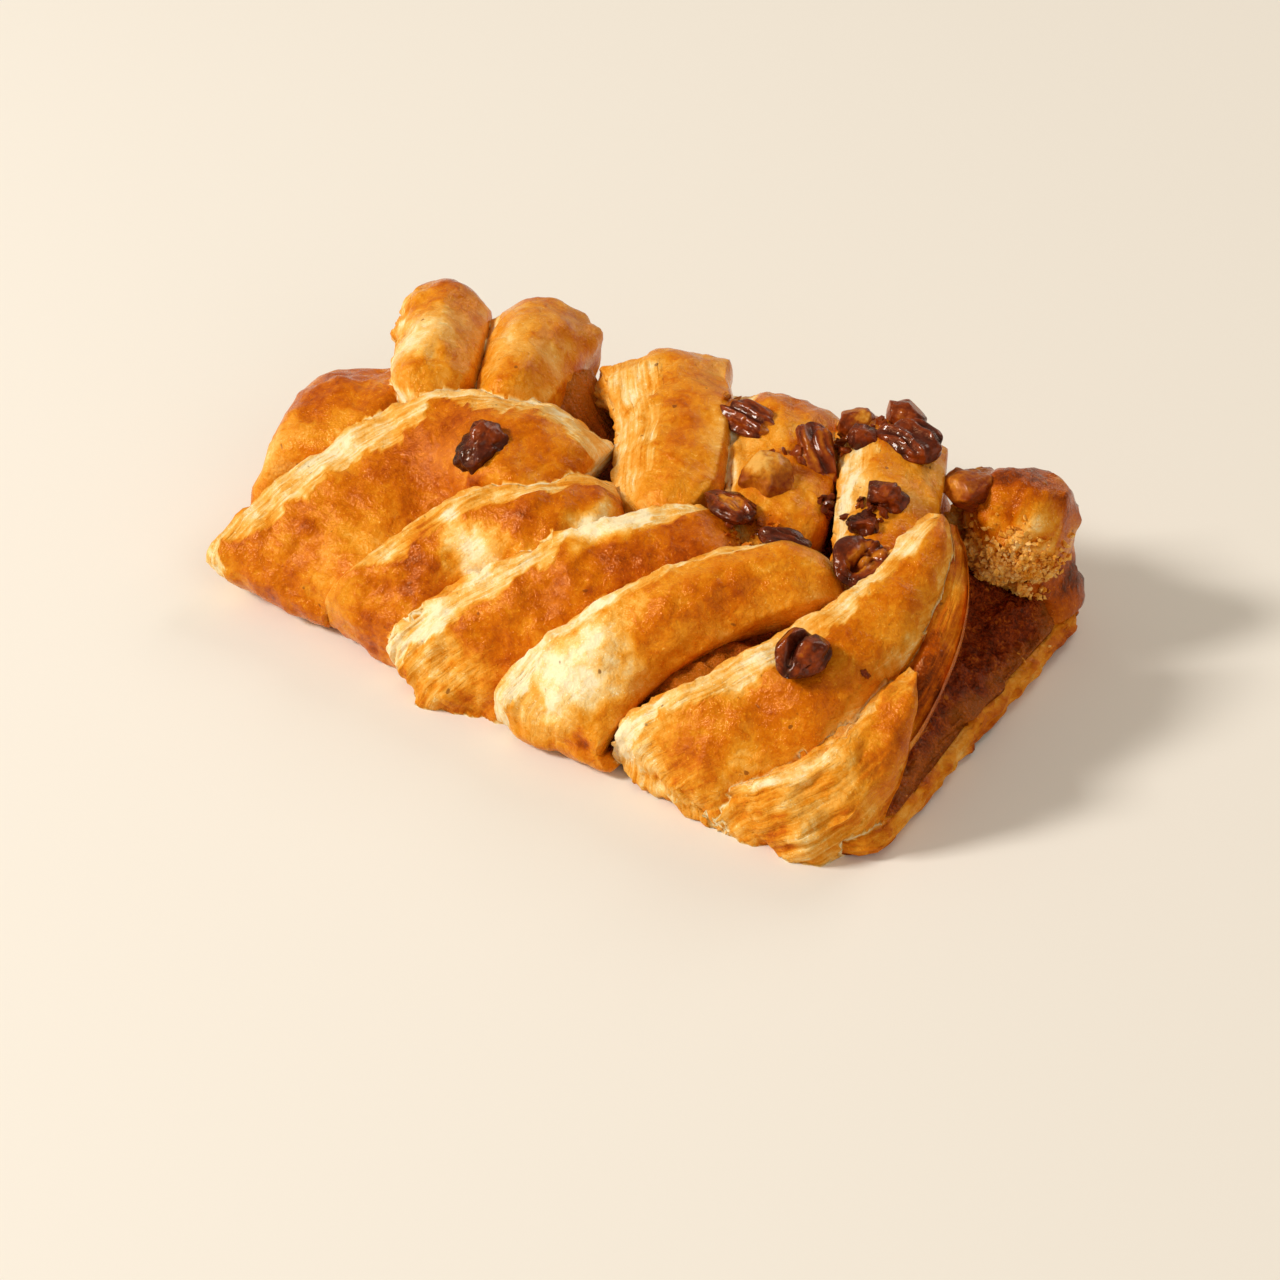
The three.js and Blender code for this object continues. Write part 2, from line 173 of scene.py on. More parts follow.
def set_inputs(tree: bpy.types.NodeTree, node: bpy.types.Node, inputs: dict) -> None:
    """Sets or links a node's inputs.

    Args:
        tree: node tree of the node.
        node: the node.
        inputs: input name or number, with a value to set or an output socket to link.
    """
    for name, value in inputs.items():
        if isinstance(value, bpy.types.NodeSocket):
            tree.links.new(value, node.inputs[name])
        else:
            node.inputs[name].default_value = value


def add_node(tree: bpy.types.NodeTree, kind: str, inputs: dict | None = None, **settings) -> bpy.types.Node:
    """Adds one shader node with its settings and links.

    Args:
        tree: node tree that gets the node.
        kind: the node's type name.
        inputs: input name or number, with a value to set or an output socket to link.
        **settings: properties of the node.

    Returns:
        The new node.
    """
    node = tree.nodes.new(kind)
    for name, value in settings.items():
        setattr(node, name, value)
    set_inputs(tree, node, inputs or {})
    return node


def start_material(name: str) -> tuple[bpy.types.Material, bpy.types.NodeTree, bpy.types.Node]:
    """Makes a material to dress.

    Args:
        name: the material's name.

    Returns:
        The material, its node tree and its shader.
    """
    material = bpy.data.materials.new(name)
    material.use_nodes = True
    return material, material.node_tree, material.node_tree.nodes["Principled BSDF"]


def colour_steps(node: bpy.types.Node, steps: tuple[tuple[float, str], ...]) -> None:
    """Sets the colours of a ramp.

    Args:
        node: colour ramp node.
        steps: place from 0 to 1 and sRGB hex colour of each step.
    """
    elements = node.color_ramp.elements
    while len(elements) < len(steps):
        elements.new(0.5)
    for element, (place, code) in zip(elements, steps):
        element.position = place
        element.color = linear_colour(code)


def deselect() -> None:
    """Leaves nothing selected, in object mode."""
    if bpy.context.object is not None and bpy.context.object.mode != "OBJECT":
        bpy.ops.object.mode_set(mode="OBJECT")
    bpy.ops.object.select_all(action="DESELECT")


def pick(piece: bpy.types.Object) -> None:
    """Makes one piece the only selected and the active one.

    Args:
        piece: object to select.
    """
    deselect()
    piece.select_set(True)
    bpy.context.view_layer.objects.active = piece


def places_of(piece: bpy.types.Object) -> np.ndarray:
    """Reads where a piece's vertices are.

    Args:
        piece: object to read.

    Returns:
        Places in metres, one row each.
    """
    flat = np.zeros(len(piece.data.vertices) * 3)
    piece.data.vertices.foreach_get("co", flat)
    return flat.reshape(-1, 3)


def settle(piece: bpy.types.Object, points: np.ndarray) -> None:
    """Moves the piece's vertices to places in the plait's frame and turns its faces outwards.

    Args:
        piece: object at the origin.
        points: places in millimetres before the frame shift, one row for each vertex.
    """
    piece.data.vertices.foreach_set("co", ((points + FRAME_SHIFT) * MM).ravel())
    piece.data.update()
    pick(piece)
    bpy.ops.object.mode_set(mode="EDIT")
    bpy.ops.mesh.select_all(action="SELECT")
    bpy.ops.mesh.normals_make_consistent(inside=False)
    bpy.ops.object.mode_set(mode="OBJECT")


def set_attribute(piece: bpy.types.Object, name: str, values: np.ndarray) -> None:
    """Stores one number for each vertex, for the finishes to read.

    Args:
        piece: object that gets the numbers.
        name: attribute name.
        values: one number for each vertex.
    """
    layer = piece.data.attributes.get(name)
    if layer is None:
        layer = piece.data.attributes.new(name, "FLOAT", "POINT")
    layer.data.foreach_set("value", values.astype(np.float32))


def get_attribute(piece: bpy.types.Object, name: str) -> np.ndarray:
    """Reads one number for each vertex.

    Args:
        piece: object to read.
        name: attribute name.

    Returns:
        The numbers.
    """
    values = np.zeros(len(piece.data.vertices), np.float32)
    piece.data.attributes[name].data.foreach_get("value", values)
    return values.astype(float)


def set_crust(piece: bpy.types.Object, *numbers: np.ndarray) -> None:
    """Stores the bake, flaky, sheet and run numbers that the crust's finish reads."""
    for name, values in zip(CRUST_NUMBERS, numbers):
        set_attribute(piece, name, values)


def declare(piece: bpy.types.Object, slot: Slot, *nodes: str) -> None:
    """Attaches a piece to the plait's body and hides the solids that it replaces.

    Args:
        piece: finished object.
        slot: not used.
        *nodes: nodes whose solids it replaces.
    """
    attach(piece, BODY)
    if nodes:
        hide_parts(*nodes)


def apply_modifier(piece: bpy.types.Object, kind: str, **settings) -> None:
    """Adds a modifier and applies it.

    Args:
        piece: object to change.
        kind: the modifier's type name.
        **settings: properties of the modifier.
    """
    pick(piece)
    modifier = piece.modifiers.new(kind.lower(), kind)
    for name, value in settings.items():
        setattr(modifier, name, value)
    bpy.ops.object.modifier_apply(modifier=modifier.name)


def smooth(piece: bpy.types.Object, degrees: float) -> None:
    """Shades a piece smooth, with edges sharper than the angle kept crisp."""
    pick(piece)
    bpy.ops.object.shade_smooth_by_angle(angle=math.radians(degrees))


@dataclass
class Tube:
    """A closed tube, cut across into rings, with the ring and place of each vertex known."""

    name: str
    around: int
    along: int
    piece: bpy.types.Object = field(init=False)
    ring: np.ndarray = field(init=False)
    turn: np.ndarray = field(init=False)
    hub: np.ndarray = field(init=False)

    def __post_init__(self) -> None:
        """Adds a cylinder and subdivides its long edges into rings."""
        deselect()
        bpy.ops.mesh.primitive_cylinder_add(
            vertices=self.around, radius=1.0, depth=2.0, end_fill_type="TRIFAN", location=(0, 0, 0)
        )
        self.piece = bpy.context.object
        self.piece.name = self.name
        self.piece.data.name = self.name
        mesh = self.piece.data
        height = places_of(self.piece)[:, 2]
        ends = np.zeros(len(mesh.edges) * 2, np.int64)
        mesh.edges.foreach_get("vertices", ends)
        ends = ends.reshape(-1, 2)
        upright = np.abs(height[ends[:, 0]] - height[ends[:, 1]]) > 1.0
        bpy.ops.object.mode_set(mode="EDIT")
        bpy.ops.mesh.select_mode(type="EDGE")
        bpy.ops.mesh.select_all(action="DESELECT")
        bpy.ops.object.mode_set(mode="OBJECT")
        mesh.edges.foreach_set("select", upright)
        bpy.ops.object.mode_set(mode="EDIT")
        bpy.ops.mesh.subdivide(number_cuts=self.along - 1)
        bpy.ops.mesh.select_mode(type="VERT")
        bpy.ops.object.mode_set(mode="OBJECT")
        places = places_of(self.piece)
        angle = np.arctan2(places[:, 1], places[:, 0]) / (2.0 * math.pi)
        self.hub = np.hypot(places[:, 0], places[:, 1]) < 0.5
        self.turn = np.round(angle * self.around).astype(int) % self.around
        self.ring = np.round((places[:, 2] + 1.0) / 2.0 * self.along).astype(int)

    def close_hubs(self, points: np.ndarray) -> None:
        """Puts the middle vertex of each end at the middle of its ring.

        Args:
            points: places of all vertices, changed in place.
        """
        for index in np.flatnonzero(self.hub):
            rim = (self.ring == self.ring[index]) & ~self.hub
            points[index] = points[rim].mean(axis=0)


# Egg-washed puff pastry: glossy amber to brown on top, with tiny blisters in the wash that glint, the tops of
# the blisters painted paler as painted glints, partly the pale bubbles of the wash, and dry, pale and finely
# layered where the sheets were cut or torn.
@dataclass(frozen=True)
class BakedPuffPastry:
    """Finish of the dough, from cream crumb to dark glossy crust."""

    name: str = "puff_pastry_egg_washed_baked"
    steps: tuple[tuple[float, str], ...] = (
        (0.0, "#ffedc2"),
        (0.12, "#fbd68e"),
        (0.26, "#f4b450"),
        (0.42, "#e5911c"),
        (0.58, "#cf6d04"),
        (0.74, "#ae4c03"),
        (0.89, "#702904"),
        (1.0, "#381303"),
    )
    speck: str = "#6a3010"
    sheen: str = "#ffc080"
    mottle_mm: float = 5.5
    wrinkle_mm: float = 2.8
    freckle_mm: float = 1.3
    blister_mm: float = 0.55
    speck_mm: float = 2.2
    mottle_shift: float = 0.08
    wrinkle_shift: float = 0.09
    freckle_shift: float = 0.08
    blister_shift: float = 0.05
    streak_shift: float = 0.14
    # Paleness painted on the blister tops: painted glints, partly the pale bubbles of the wash.
    bubble_glint_shift: float = 0.2
    gloss_roughness: float = 0.16
    crumb_roughness: float = 0.6
    ior: float = 1.45
    specular: float = 0.42
    scatter: float = 0.03
    scatter_mm: float = 1.4
    scatter_colours: tuple[float, float, float] = (1.0, 0.55, 0.25)

    def material(self) -> bpy.types.Material:
        """Makes the shader, which reads the dough's bake, flaky, sheet and run numbers.

        Returns:
            The finished material.
        """
        material, tree, shader = start_material(self.name)
        place = add_node(tree, "ShaderNodeTexCoord").outputs["Object"]
        bake, flaky, sheet, run = (
            add_node(tree, "ShaderNodeAttribute", attribute_name=name).outputs["Fac"]
            for name in CRUST_NUMBERS
        )
        noises = (
            (self.mottle_mm, 5.0, 0.0),
            (self.wrinkle_mm, 5.0, 0.9),
            (self.freckle_mm, 4.0, 0.0),
            (self.blister_mm, 2.0, 0.0),
            (self.speck_mm, 1.0, 0.0),
        )
        common = {"Vector": place, "Roughness": 0.6}
        mottle, wrinkle, freckle, blister, speck = (
            add_node(
                tree,
                "ShaderNodeTexNoise",
                {**common, "Scale": 1.0 / (mm * MM), "Detail": detail, "Distortion": warp},
            ).outputs["Fac"]
            for mm, detail, warp in noises
        )
        layer = add_node(tree, "ShaderNodeCombineXYZ", {"X": sheet, "Y": run}).outputs[0]
        streak = add_node(
            tree, "ShaderNodeTexNoise", {"Vector": layer, "Scale": 1.0, "Detail": 5.0, "Roughness": 0.62}
        ).outputs["Fac"]
        level = bake
        for noise, spread in (
            (mottle, self.mottle_shift),
            (wrinkle, self.wrinkle_shift),
            (freckle, self.freckle_shift),
            (blister, self.blister_shift),
        ):
            shift = add_node(
                tree,
                "ShaderNodeMapRange",
                {"Value": noise, "From Min": 0.25, "From Max": 0.75, "To Min": -spread, "To Max": spread},
            ).outputs[0]
            level = add_node(tree, "ShaderNodeMath", {0: level, 1: shift}, operation="ADD").outputs[0]
        spread = self.streak_shift
        shift = add_node(
            tree,
            "ShaderNodeMapRange",
            {"Value": streak, "From Min": 0.3, "From Max": 0.7, "To Min": -spread, "To Max": spread},
        ).outputs[0]
        inputs = {0: shift, 1: flaky, 2: level}
        level = add_node(tree, "ShaderNodeMath", inputs, operation="MULTIPLY_ADD").outputs[0]
        # Paler specks on the highest blisters: painted glints, partly the pale bubbles of the wash.
        bubble_glint = add_node(
            tree,
            "ShaderNodeMapRange",
            {"Value": blister, "From Min": 0.6, "From Max": 0.72, "To Min": 0.0, "To Max": self.bubble_glint_shift},
        ).outputs[0]
        level = add_node(tree, "ShaderNodeMath", {0: level, 1: bubble_glint}, operation="SUBTRACT").outputs[0]
        ramp = add_node(tree, "ShaderNodeValToRGB", {"Fac": level})
        colour_steps(ramp, self.steps)
        spot = add_node(
            tree,
            "ShaderNodeMapRange",
            {"Value": speck, "From Min": 0.74, "From Max": 0.8, "To Min": 0.0, "To Max": 0.7},
            interpolation_type="SMOOTHSTEP",
        ).outputs[0]
        inputs = {0: spot, 6: ramp.outputs["Color"], 7: linear_colour(self.speck)}
        colour = add_node(tree, "ShaderNodeMix", inputs, data_type="RGBA").outputs[2]
        rough = {"To Min": self.gloss_roughness, "To Max": self.crumb_roughness}
        dull = add_node(
            tree, "ShaderNodeMapRange", {"Value": flaky, "From Min": 0.0, "From Max": 0.7, **rough}
        ).outputs[0]
        ledge = add_node(tree, "ShaderNodeMath", {0: streak, 1: flaky}, operation="MULTIPLY").outputs[0]
        normal = add_node(
            tree, "ShaderNodeBump", {"Height": mottle, "Strength": 0.5, "Distance": 0.8 * MM}
        ).outputs[0]
        for height, strength, depth in (
            (ledge, 0.8, 0.7),
            (wrinkle, 0.5, 0.7),
            (freckle, 0.6, 0.4),
            (blister, 0.7, 0.2),
        ):
            inputs = {"Height": height, "Strength": strength, "Distance": depth * MM, "Normal": normal}
            normal = add_node(tree, "ShaderNodeBump", inputs).outputs[0]
        dressed = {
            "Base Color": colour,
            "Roughness": dull,
            "Normal": normal,
            "IOR": self.ior,
            "Specular IOR Level": self.specular,
            "Specular Tint": linear_colour(self.sheen),
            "Subsurface Weight": self.scatter,
            "Subsurface Radius": self.scatter_colours,
            "Subsurface Scale": self.scatter_mm * MM,
        }
        set_inputs(tree, shader, dressed)
        return material


# Boiled sugar and butter caramel, baked until it set: dark red-brown and grainy, with tiny wet glints.
@dataclass(frozen=True)
class BakedCaramel:
    """Finish of the filling."""

    name: str = "caramel_baked_sticky"
    steps: tuple[tuple[float, str], ...] = (
        (0.28, "#501305"),
        (0.48, "#7c2807"),
        (0.62, "#9a3a0a"),
        (0.8, "#c46a1a"),
    )
    amber: str = "#cc7414"
    sheen: str = "#ffb878"
    lump_mm: float = 2.6
    grit_mm: float = 0.55
    grit_shift: float = 0.2
    wet_roughness: float = 0.12
    dry_roughness: float = 0.36
    ior: float = 1.5
    specular: float = 0.4

    def material(self) -> bpy.types.Material:
        """Makes the shader, which reads where the caramel is thin, and where it is painted lighter in shaded
        gaps.

        Returns:
            The finished material.
        """
        material, tree, shader = start_material(self.name)
        place = add_node(tree, "ShaderNodeTexCoord").outputs["Object"]
        lump, grit = (
            add_node(
                tree,
                "ShaderNodeTexNoise",
                {"Vector": place, "Scale": 1.0 / (mm * MM), "Detail": detail, "Roughness": 0.6},
            ).outputs["Fac"]
            for mm, detail in ((self.lump_mm, 5.0), (self.grit_mm, 3.0))
        )
        spread = self.grit_shift
        shift = add_node(
            tree,
            "ShaderNodeMapRange",
            {"Value": grit, "From Min": 0.3, "From Max": 0.7, "To Min": -spread, "To Max": spread},
        ).outputs[0]
        level = add_node(tree, "ShaderNodeMath", {0: lump, 1: shift}, operation="ADD").outputs[0]
        ramp = add_node(tree, "ShaderNodeValToRGB", {"Fac": level})
        colour_steps(ramp, self.steps)
        # thin holds thin caramel at the open end, and painted light in two shaded gaps between strips.
        thin = add_node(tree, "ShaderNodeAttribute", attribute_name="thin").outputs["Fac"]
        inputs = {0: thin, 6: ramp.outputs["Color"], 7: linear_colour(self.amber)}
        colour = add_node(tree, "ShaderNodeMix", inputs, data_type="RGBA").outputs[2]
        rough = {"To Min": self.wet_roughness, "To Max": self.dry_roughness}
        gloss = add_node(
            tree, "ShaderNodeMapRange", {"Value": lump, "From Min": 0.35, "From Max": 0.7, **rough}
        ).outputs[0]
        broad = add_node(
            tree, "ShaderNodeBump", {"Height": lump, "Strength": 0.8, "Distance": 1.2 * MM}
        ).outputs[0]
        fine = add_node(
            tree, "ShaderNodeBump", {"Height": grit, "Strength": 1.0, "Distance": 0.6 * MM, "Normal": broad}
        ).outputs[0]
        dressed = {
            "Base Color": colour,
            "Roughness": gloss,
            "Normal": fine,
            "IOR": self.ior,
            "Specular IOR Level": self.specular,
            "Specular Tint": linear_colour(self.sheen),
        }
        set_inputs(tree, shader, dressed)
        return material


# Roasted pecan kernel, brushed with syrup: a dark glossy skin on wrinkled ridges, tan meat where it broke.
@dataclass(frozen=True)
class RoastedPecan:
    """Finish of the nuts."""

    name: str = "pecan_kernel_roasted_glazed"
    skin: tuple[tuple[float, str], ...] = (
        (0.0, "#240a04"),
        (0.3, "#541c0a"),
        (0.52, "#86340a"),
        (0.72, "#b0600f"),
        (0.86, "#d08420"),
        (1.0, "#e6ac52"),
    )
    sheen: str = "#ffb078"
    wrinkle_mm: float = 1.1
    wrinkle_shift: float = 0.13
    skin_roughness: float = 0.22
    meat_roughness: float = 0.5
    ior: float = 1.47
    specular: float = 0.28
    glaze: float = 0.28
    glaze_roughness: float = 0.06

    def material(self) -> bpy.types.Material:
        """Makes the shader, which reads how dark or tan each place of a nut is.

        Returns:
            The finished material.
        """
        material, tree, shader = start_material(self.name)
        place = add_node(tree, "ShaderNodeTexCoord").outputs["Object"]
        tone = add_node(tree, "ShaderNodeAttribute", attribute_name="tone").outputs["Fac"]
        wrinkle = add_node(
            tree,
            "ShaderNodeTexNoise",
            {"Vector": place, "Scale": 1.0 / (self.wrinkle_mm * MM), "Detail": 4.0, "Roughness": 0.6},
        ).outputs["Fac"]
        spread = self.wrinkle_shift
        shift = add_node(
            tree,
            "ShaderNodeMapRange",
            {"Value": wrinkle, "From Min": 0.25, "From Max": 0.75, "To Min": -spread, "To Max": spread},
        ).outputs[0]
        level = add_node(tree, "ShaderNodeMath", {0: tone, 1: shift}, operation="ADD").outputs[0]
        ramp = add_node(tree, "ShaderNodeValToRGB", {"Fac": level})
        colour_steps(ramp, self.skin)
        rough = {"To Min": self.skin_roughness, "To Max": self.meat_roughness}
        dull = add_node(
            tree, "ShaderNodeMapRange", {"Value": tone, "From Min": 0.35, "From Max": 0.9, **rough}
        ).outputs[0]
        relief = add_node(
            tree, "ShaderNodeBump", {"Height": wrinkle, "Strength": 0.7, "Distance": 0.45 * MM}
        ).outputs[0]
        dressed = {
            "Base Color": ramp.outputs["Color"],
            "Roughness": dull,
            "Normal": relief,
            "IOR": self.ior,
            "Specular IOR Level": self.specular,
            "Specular Tint": linear_colour(self.sheen),
            "Coat Weight": self.glaze,
            "Coat Roughness": self.glaze_roughness,
        }
        set_inputs(tree, shader, dressed)
        return material


# Uncoated paper, rolled out flat: an even, dull white that keeps the plait's own colours clear.
@dataclass(frozen=True)
class StudioPaper:
    """Matt pale paper under the plait, so that its own colours stand out."""

    name: str = "studio_paper_matt"
    colour: str = "#efebe4"
    roughness: float = 0.85

    def material(self) -> bpy.types.Material:
        """Makes the shader.

        Returns:
            The finished material.
        """
        material, tree, shader = start_material(self.name)
        set_inputs(tree, shader, {"Base Color": linear_colour(self.colour), "Roughness": self.roughness})
        return material


@dataclass(frozen=True)
class BakePatch:
    """A place where the crust is paler, darker or more broken than around it."""

    at: tuple[float, float, float]
    reach: float
    bake: float = 0.0
    flaky: float = 0.0

    def weight(self, points: np.ndarray) -> np.ndarray:
        """How strongly the patch acts at each place.

        Args:
            points: places in millimetres before the frame shift, one row each.

        Returns:
            Weights from 0 to 1, with a ragged rim.
        """
        ragged = 1.0 + 0.25 * grain(points, self.reach * 0.6 + 0.6, 71) + 0.12 * grain(points, 1.7, 72)
        away = np.linalg.norm(points - np.array(self.at), axis=1) / self.reach
        return 1.0 - smoothstep(0.3, 1.25, away * ragged)


@dataclass(frozen=True)
class Knob:
    """A lump that the dough swelled up to."""

    at: tuple[float, float, float]
    reach: float
    rise: float


@dataclass(frozen=True)
class Strip:
    """One strip of dough, swept along the upper edge of its cut side from the root to the tip.

    roll and root_roll turn the section, in degrees. slit is where the strip leaves its neighbour, from 0 at
    the root to 1 at the tip. band and far_band are the widths of the pale layered bands along both edges.
    torn says how flaky the root is, or the tip. bake and pale are places on the finish's scale from cream to
    dark. relief holds the height, size and seed step of finer bumps.
    """

    name: str
    lean: Lean
    edge: tuple[tuple[float, float, float], ...]
    width: tuple[float, float, float]
    thick: float
    roll: float
    crown: float
    slit: float
    seed: int
    root_roll: float = 0.0
    taper: float = 0.45
    bake: float = 0.6
    band: float = 3.0
    root_band: float = 1.0
    pale: float = 0.26
    far_band: float = 0.0
    torn: float = 0.2
    torn_until: float = 0.36
    torn_at_tip: bool = False
    round_tip: bool = False
    lumps: float = 0.34
    crags: float = 0.0
    tucked_bake: float = 0.5

    section_mm: float = 0.78
    most_rings: int = 100
    top_steps: int = 46
    tucked_steps: int = 9
    under_steps: int = 5
    cut_steps: int = 26
    edge_mm: float = 6.4
    edge_share: float = 0.36
    sheet_mm: float = 0.7
    streak_mm: float = 11.0
    skin_mm: float = 0.35
    swell: float = 0.55
    foot_mm: float = 4.0
    corner_mm: float = 3.0
    nose_mm: float = 5.0
    slope: float = 0.2
    lump_mm: float = 7.5
    relief: tuple[tuple[float, float, int], ...] = ((0.3, 3.2, 51), (0.1, 1.7, 61))
    crag_mm: float = 4.2
    crinkle: float = 0.16
    crinkle_mm: tuple[float, float] = (8.0, 1.7)
    flake_mm: float = 5.0
    cut_bake: float = 0.31
    look: float = 1.0 / 11.0
    taper_from: float = 0.86

    def path(self, count: int) -> np.ndarray:
        """Evenly spaced points on the curve through the edge.

        Args:
            count: how many points.

        Returns:
            Points in millimetres, one row each.
        """
        knots = np.array(self.edge)
        ends = np.vstack((2.0 * knots[0] - knots[1], knots, 2.0 * knots[-1] - knots[-2]))
        gaps = np.sqrt(np.linalg.norm(np.diff(ends, axis=0), axis=1))
        u = np.linspace(0.0, 1.0, 60, endpoint=False)[:, None]
        runs = []
        for k in range(1, len(knots)):
            p0, p1, p2, p3 = ends[k - 1 : k + 3]
            d0, d1, d2 = gaps[k - 1 : k + 2]
            leave = ((p1 - p0) / d0 - (p2 - p0) / (d0 + d1) + (p2 - p1) / d1) * d1
            reach = ((p2 - p1) / d1 - (p3 - p1) / (d1 + d2) + (p3 - p2) / d2) * d1
            bend = -3.0 * p1 + 3.0 * p2 - 2.0 * leave - reach
            twist = 2.0 * p1 - 2.0 * p2 + leave + reach
            runs.append(p1 + u * leave + u**2 * bend + u**3 * twist)
        dense = np.vstack(runs + [knots[-1:]])
        length = np.concatenate(([0.0], np.cumsum(np.linalg.norm(np.diff(dense, axis=0), axis=1))))
        at = np.linspace(0.0, length[-1], count)
        return np.stack([np.interp(at, length, dense[:, k]) for k in range(3)], axis=1)

    def frames(self, count: int) -> dict[str, np.ndarray]:
        """Directions and sizes of the section at each ring.

        Args:
            count: how many rings.

        Returns:
            Arrays by name, one row for each ring.
        """
        even = np.linspace(0.0, 1.0, count)
        t = 1.0 - (1.0 - even) ** 1.6 if self.round_tip else even
        knots = self.path(count)

        def spot(place: np.ndarray) -> np.ndarray:
            """Points of the path at places from 0 at the root to 1 at the tip."""
            return np.stack([np.interp(place, even, knots[:, k]) for k in range(3)], axis=1)

        path = spot(t)
        along = spot(np.clip(t + self.look, 0.0, 1.0)) - spot(np.clip(t - self.look, 0.0, 1.0))
        along /= np.linalg.norm(along, axis=1, keepdims=True)
        outward = np.array(self.lean.value)
        out = outward * along[:, 2:3] + np.array((0.0, 0.0, 1.0)) * (1.0 - np.abs(along[:, 2:3]))
        out -= along * np.sum(out * along, axis=1, keepdims=True)
        out /= np.linalg.norm(out, axis=1, keepdims=True)
        flip = -1.0 if self.lean is Lean.FAR else 1.0
        side = np.cross(along, out) * flip
        opened = smoothstep(self.slit, self.slit + 0.3, t)
        roll = np.radians(self.root_roll + (self.roll - self.root_roll) * opened)[:, None]
        tip = 1.0 - self.taper * smoothstep(self.taper_from, 1.0, t) ** 2
        width = np.interp(t, (0.0, 0.5, 1.0), self.width)
        return {
            "t": t,
            "path": path,
            "tuck": side * np.cos(roll) - out * np.sin(roll),
            "lift": out * np.cos(roll) + side * np.sin(roll),
            "width": width * tip,
            "inset": 0.5 * width * (1.0 - tip),
            "thick": self.thick * (0.8 + 0.2 * smoothstep(0.0, 0.25, t)) * tip,
            "crown": self.crown * (0.3 + 0.7 * opened) * tip,
        }

    def ring_zones(self) -> tuple[np.ndarray, np.ndarray]:
        """Zone of each step around the section and how far it is through that zone.

        Returns:
            Zone numbers and parts from 0 to 1.
        """
        counts = (self.top_steps, self.tucked_steps, self.under_steps, self.cut_steps)
        zone = np.concatenate([np.full(n, k) for k, n in enumerate(counts)])
        part = np.concatenate([np.arange(n) / n for n in counts])
        return zone, part

    def build(self) -> bpy.types.Object:
        """Models the strip with its crowned top, tucked side and layered cut side.

        Returns:
            The strip's closed mesh with its bake, flaky, sheet and run numbers.
        """
        length = np.linalg.norm(np.diff(self.path(80), axis=0), axis=1).sum()
        rings = int(min(self.most_rings, length / self.section_mm))
        tube = Tube(self.name, len(self.ring_zones()[0]), rings)
        skin = Skin(self, tube, length)
        skin.shape_section()
        skin.split_sheets()
        skin.round_ends()
        skin.roughen()
        bake, flaky = skin.brown()
        tube.close_hubs(skin.points)
        settle(tube.piece, skin.points)
        set_crust(tube.piece, bake, flaky, skin.sheet, skin.t * length / self.streak_mm)
        return tube.piece


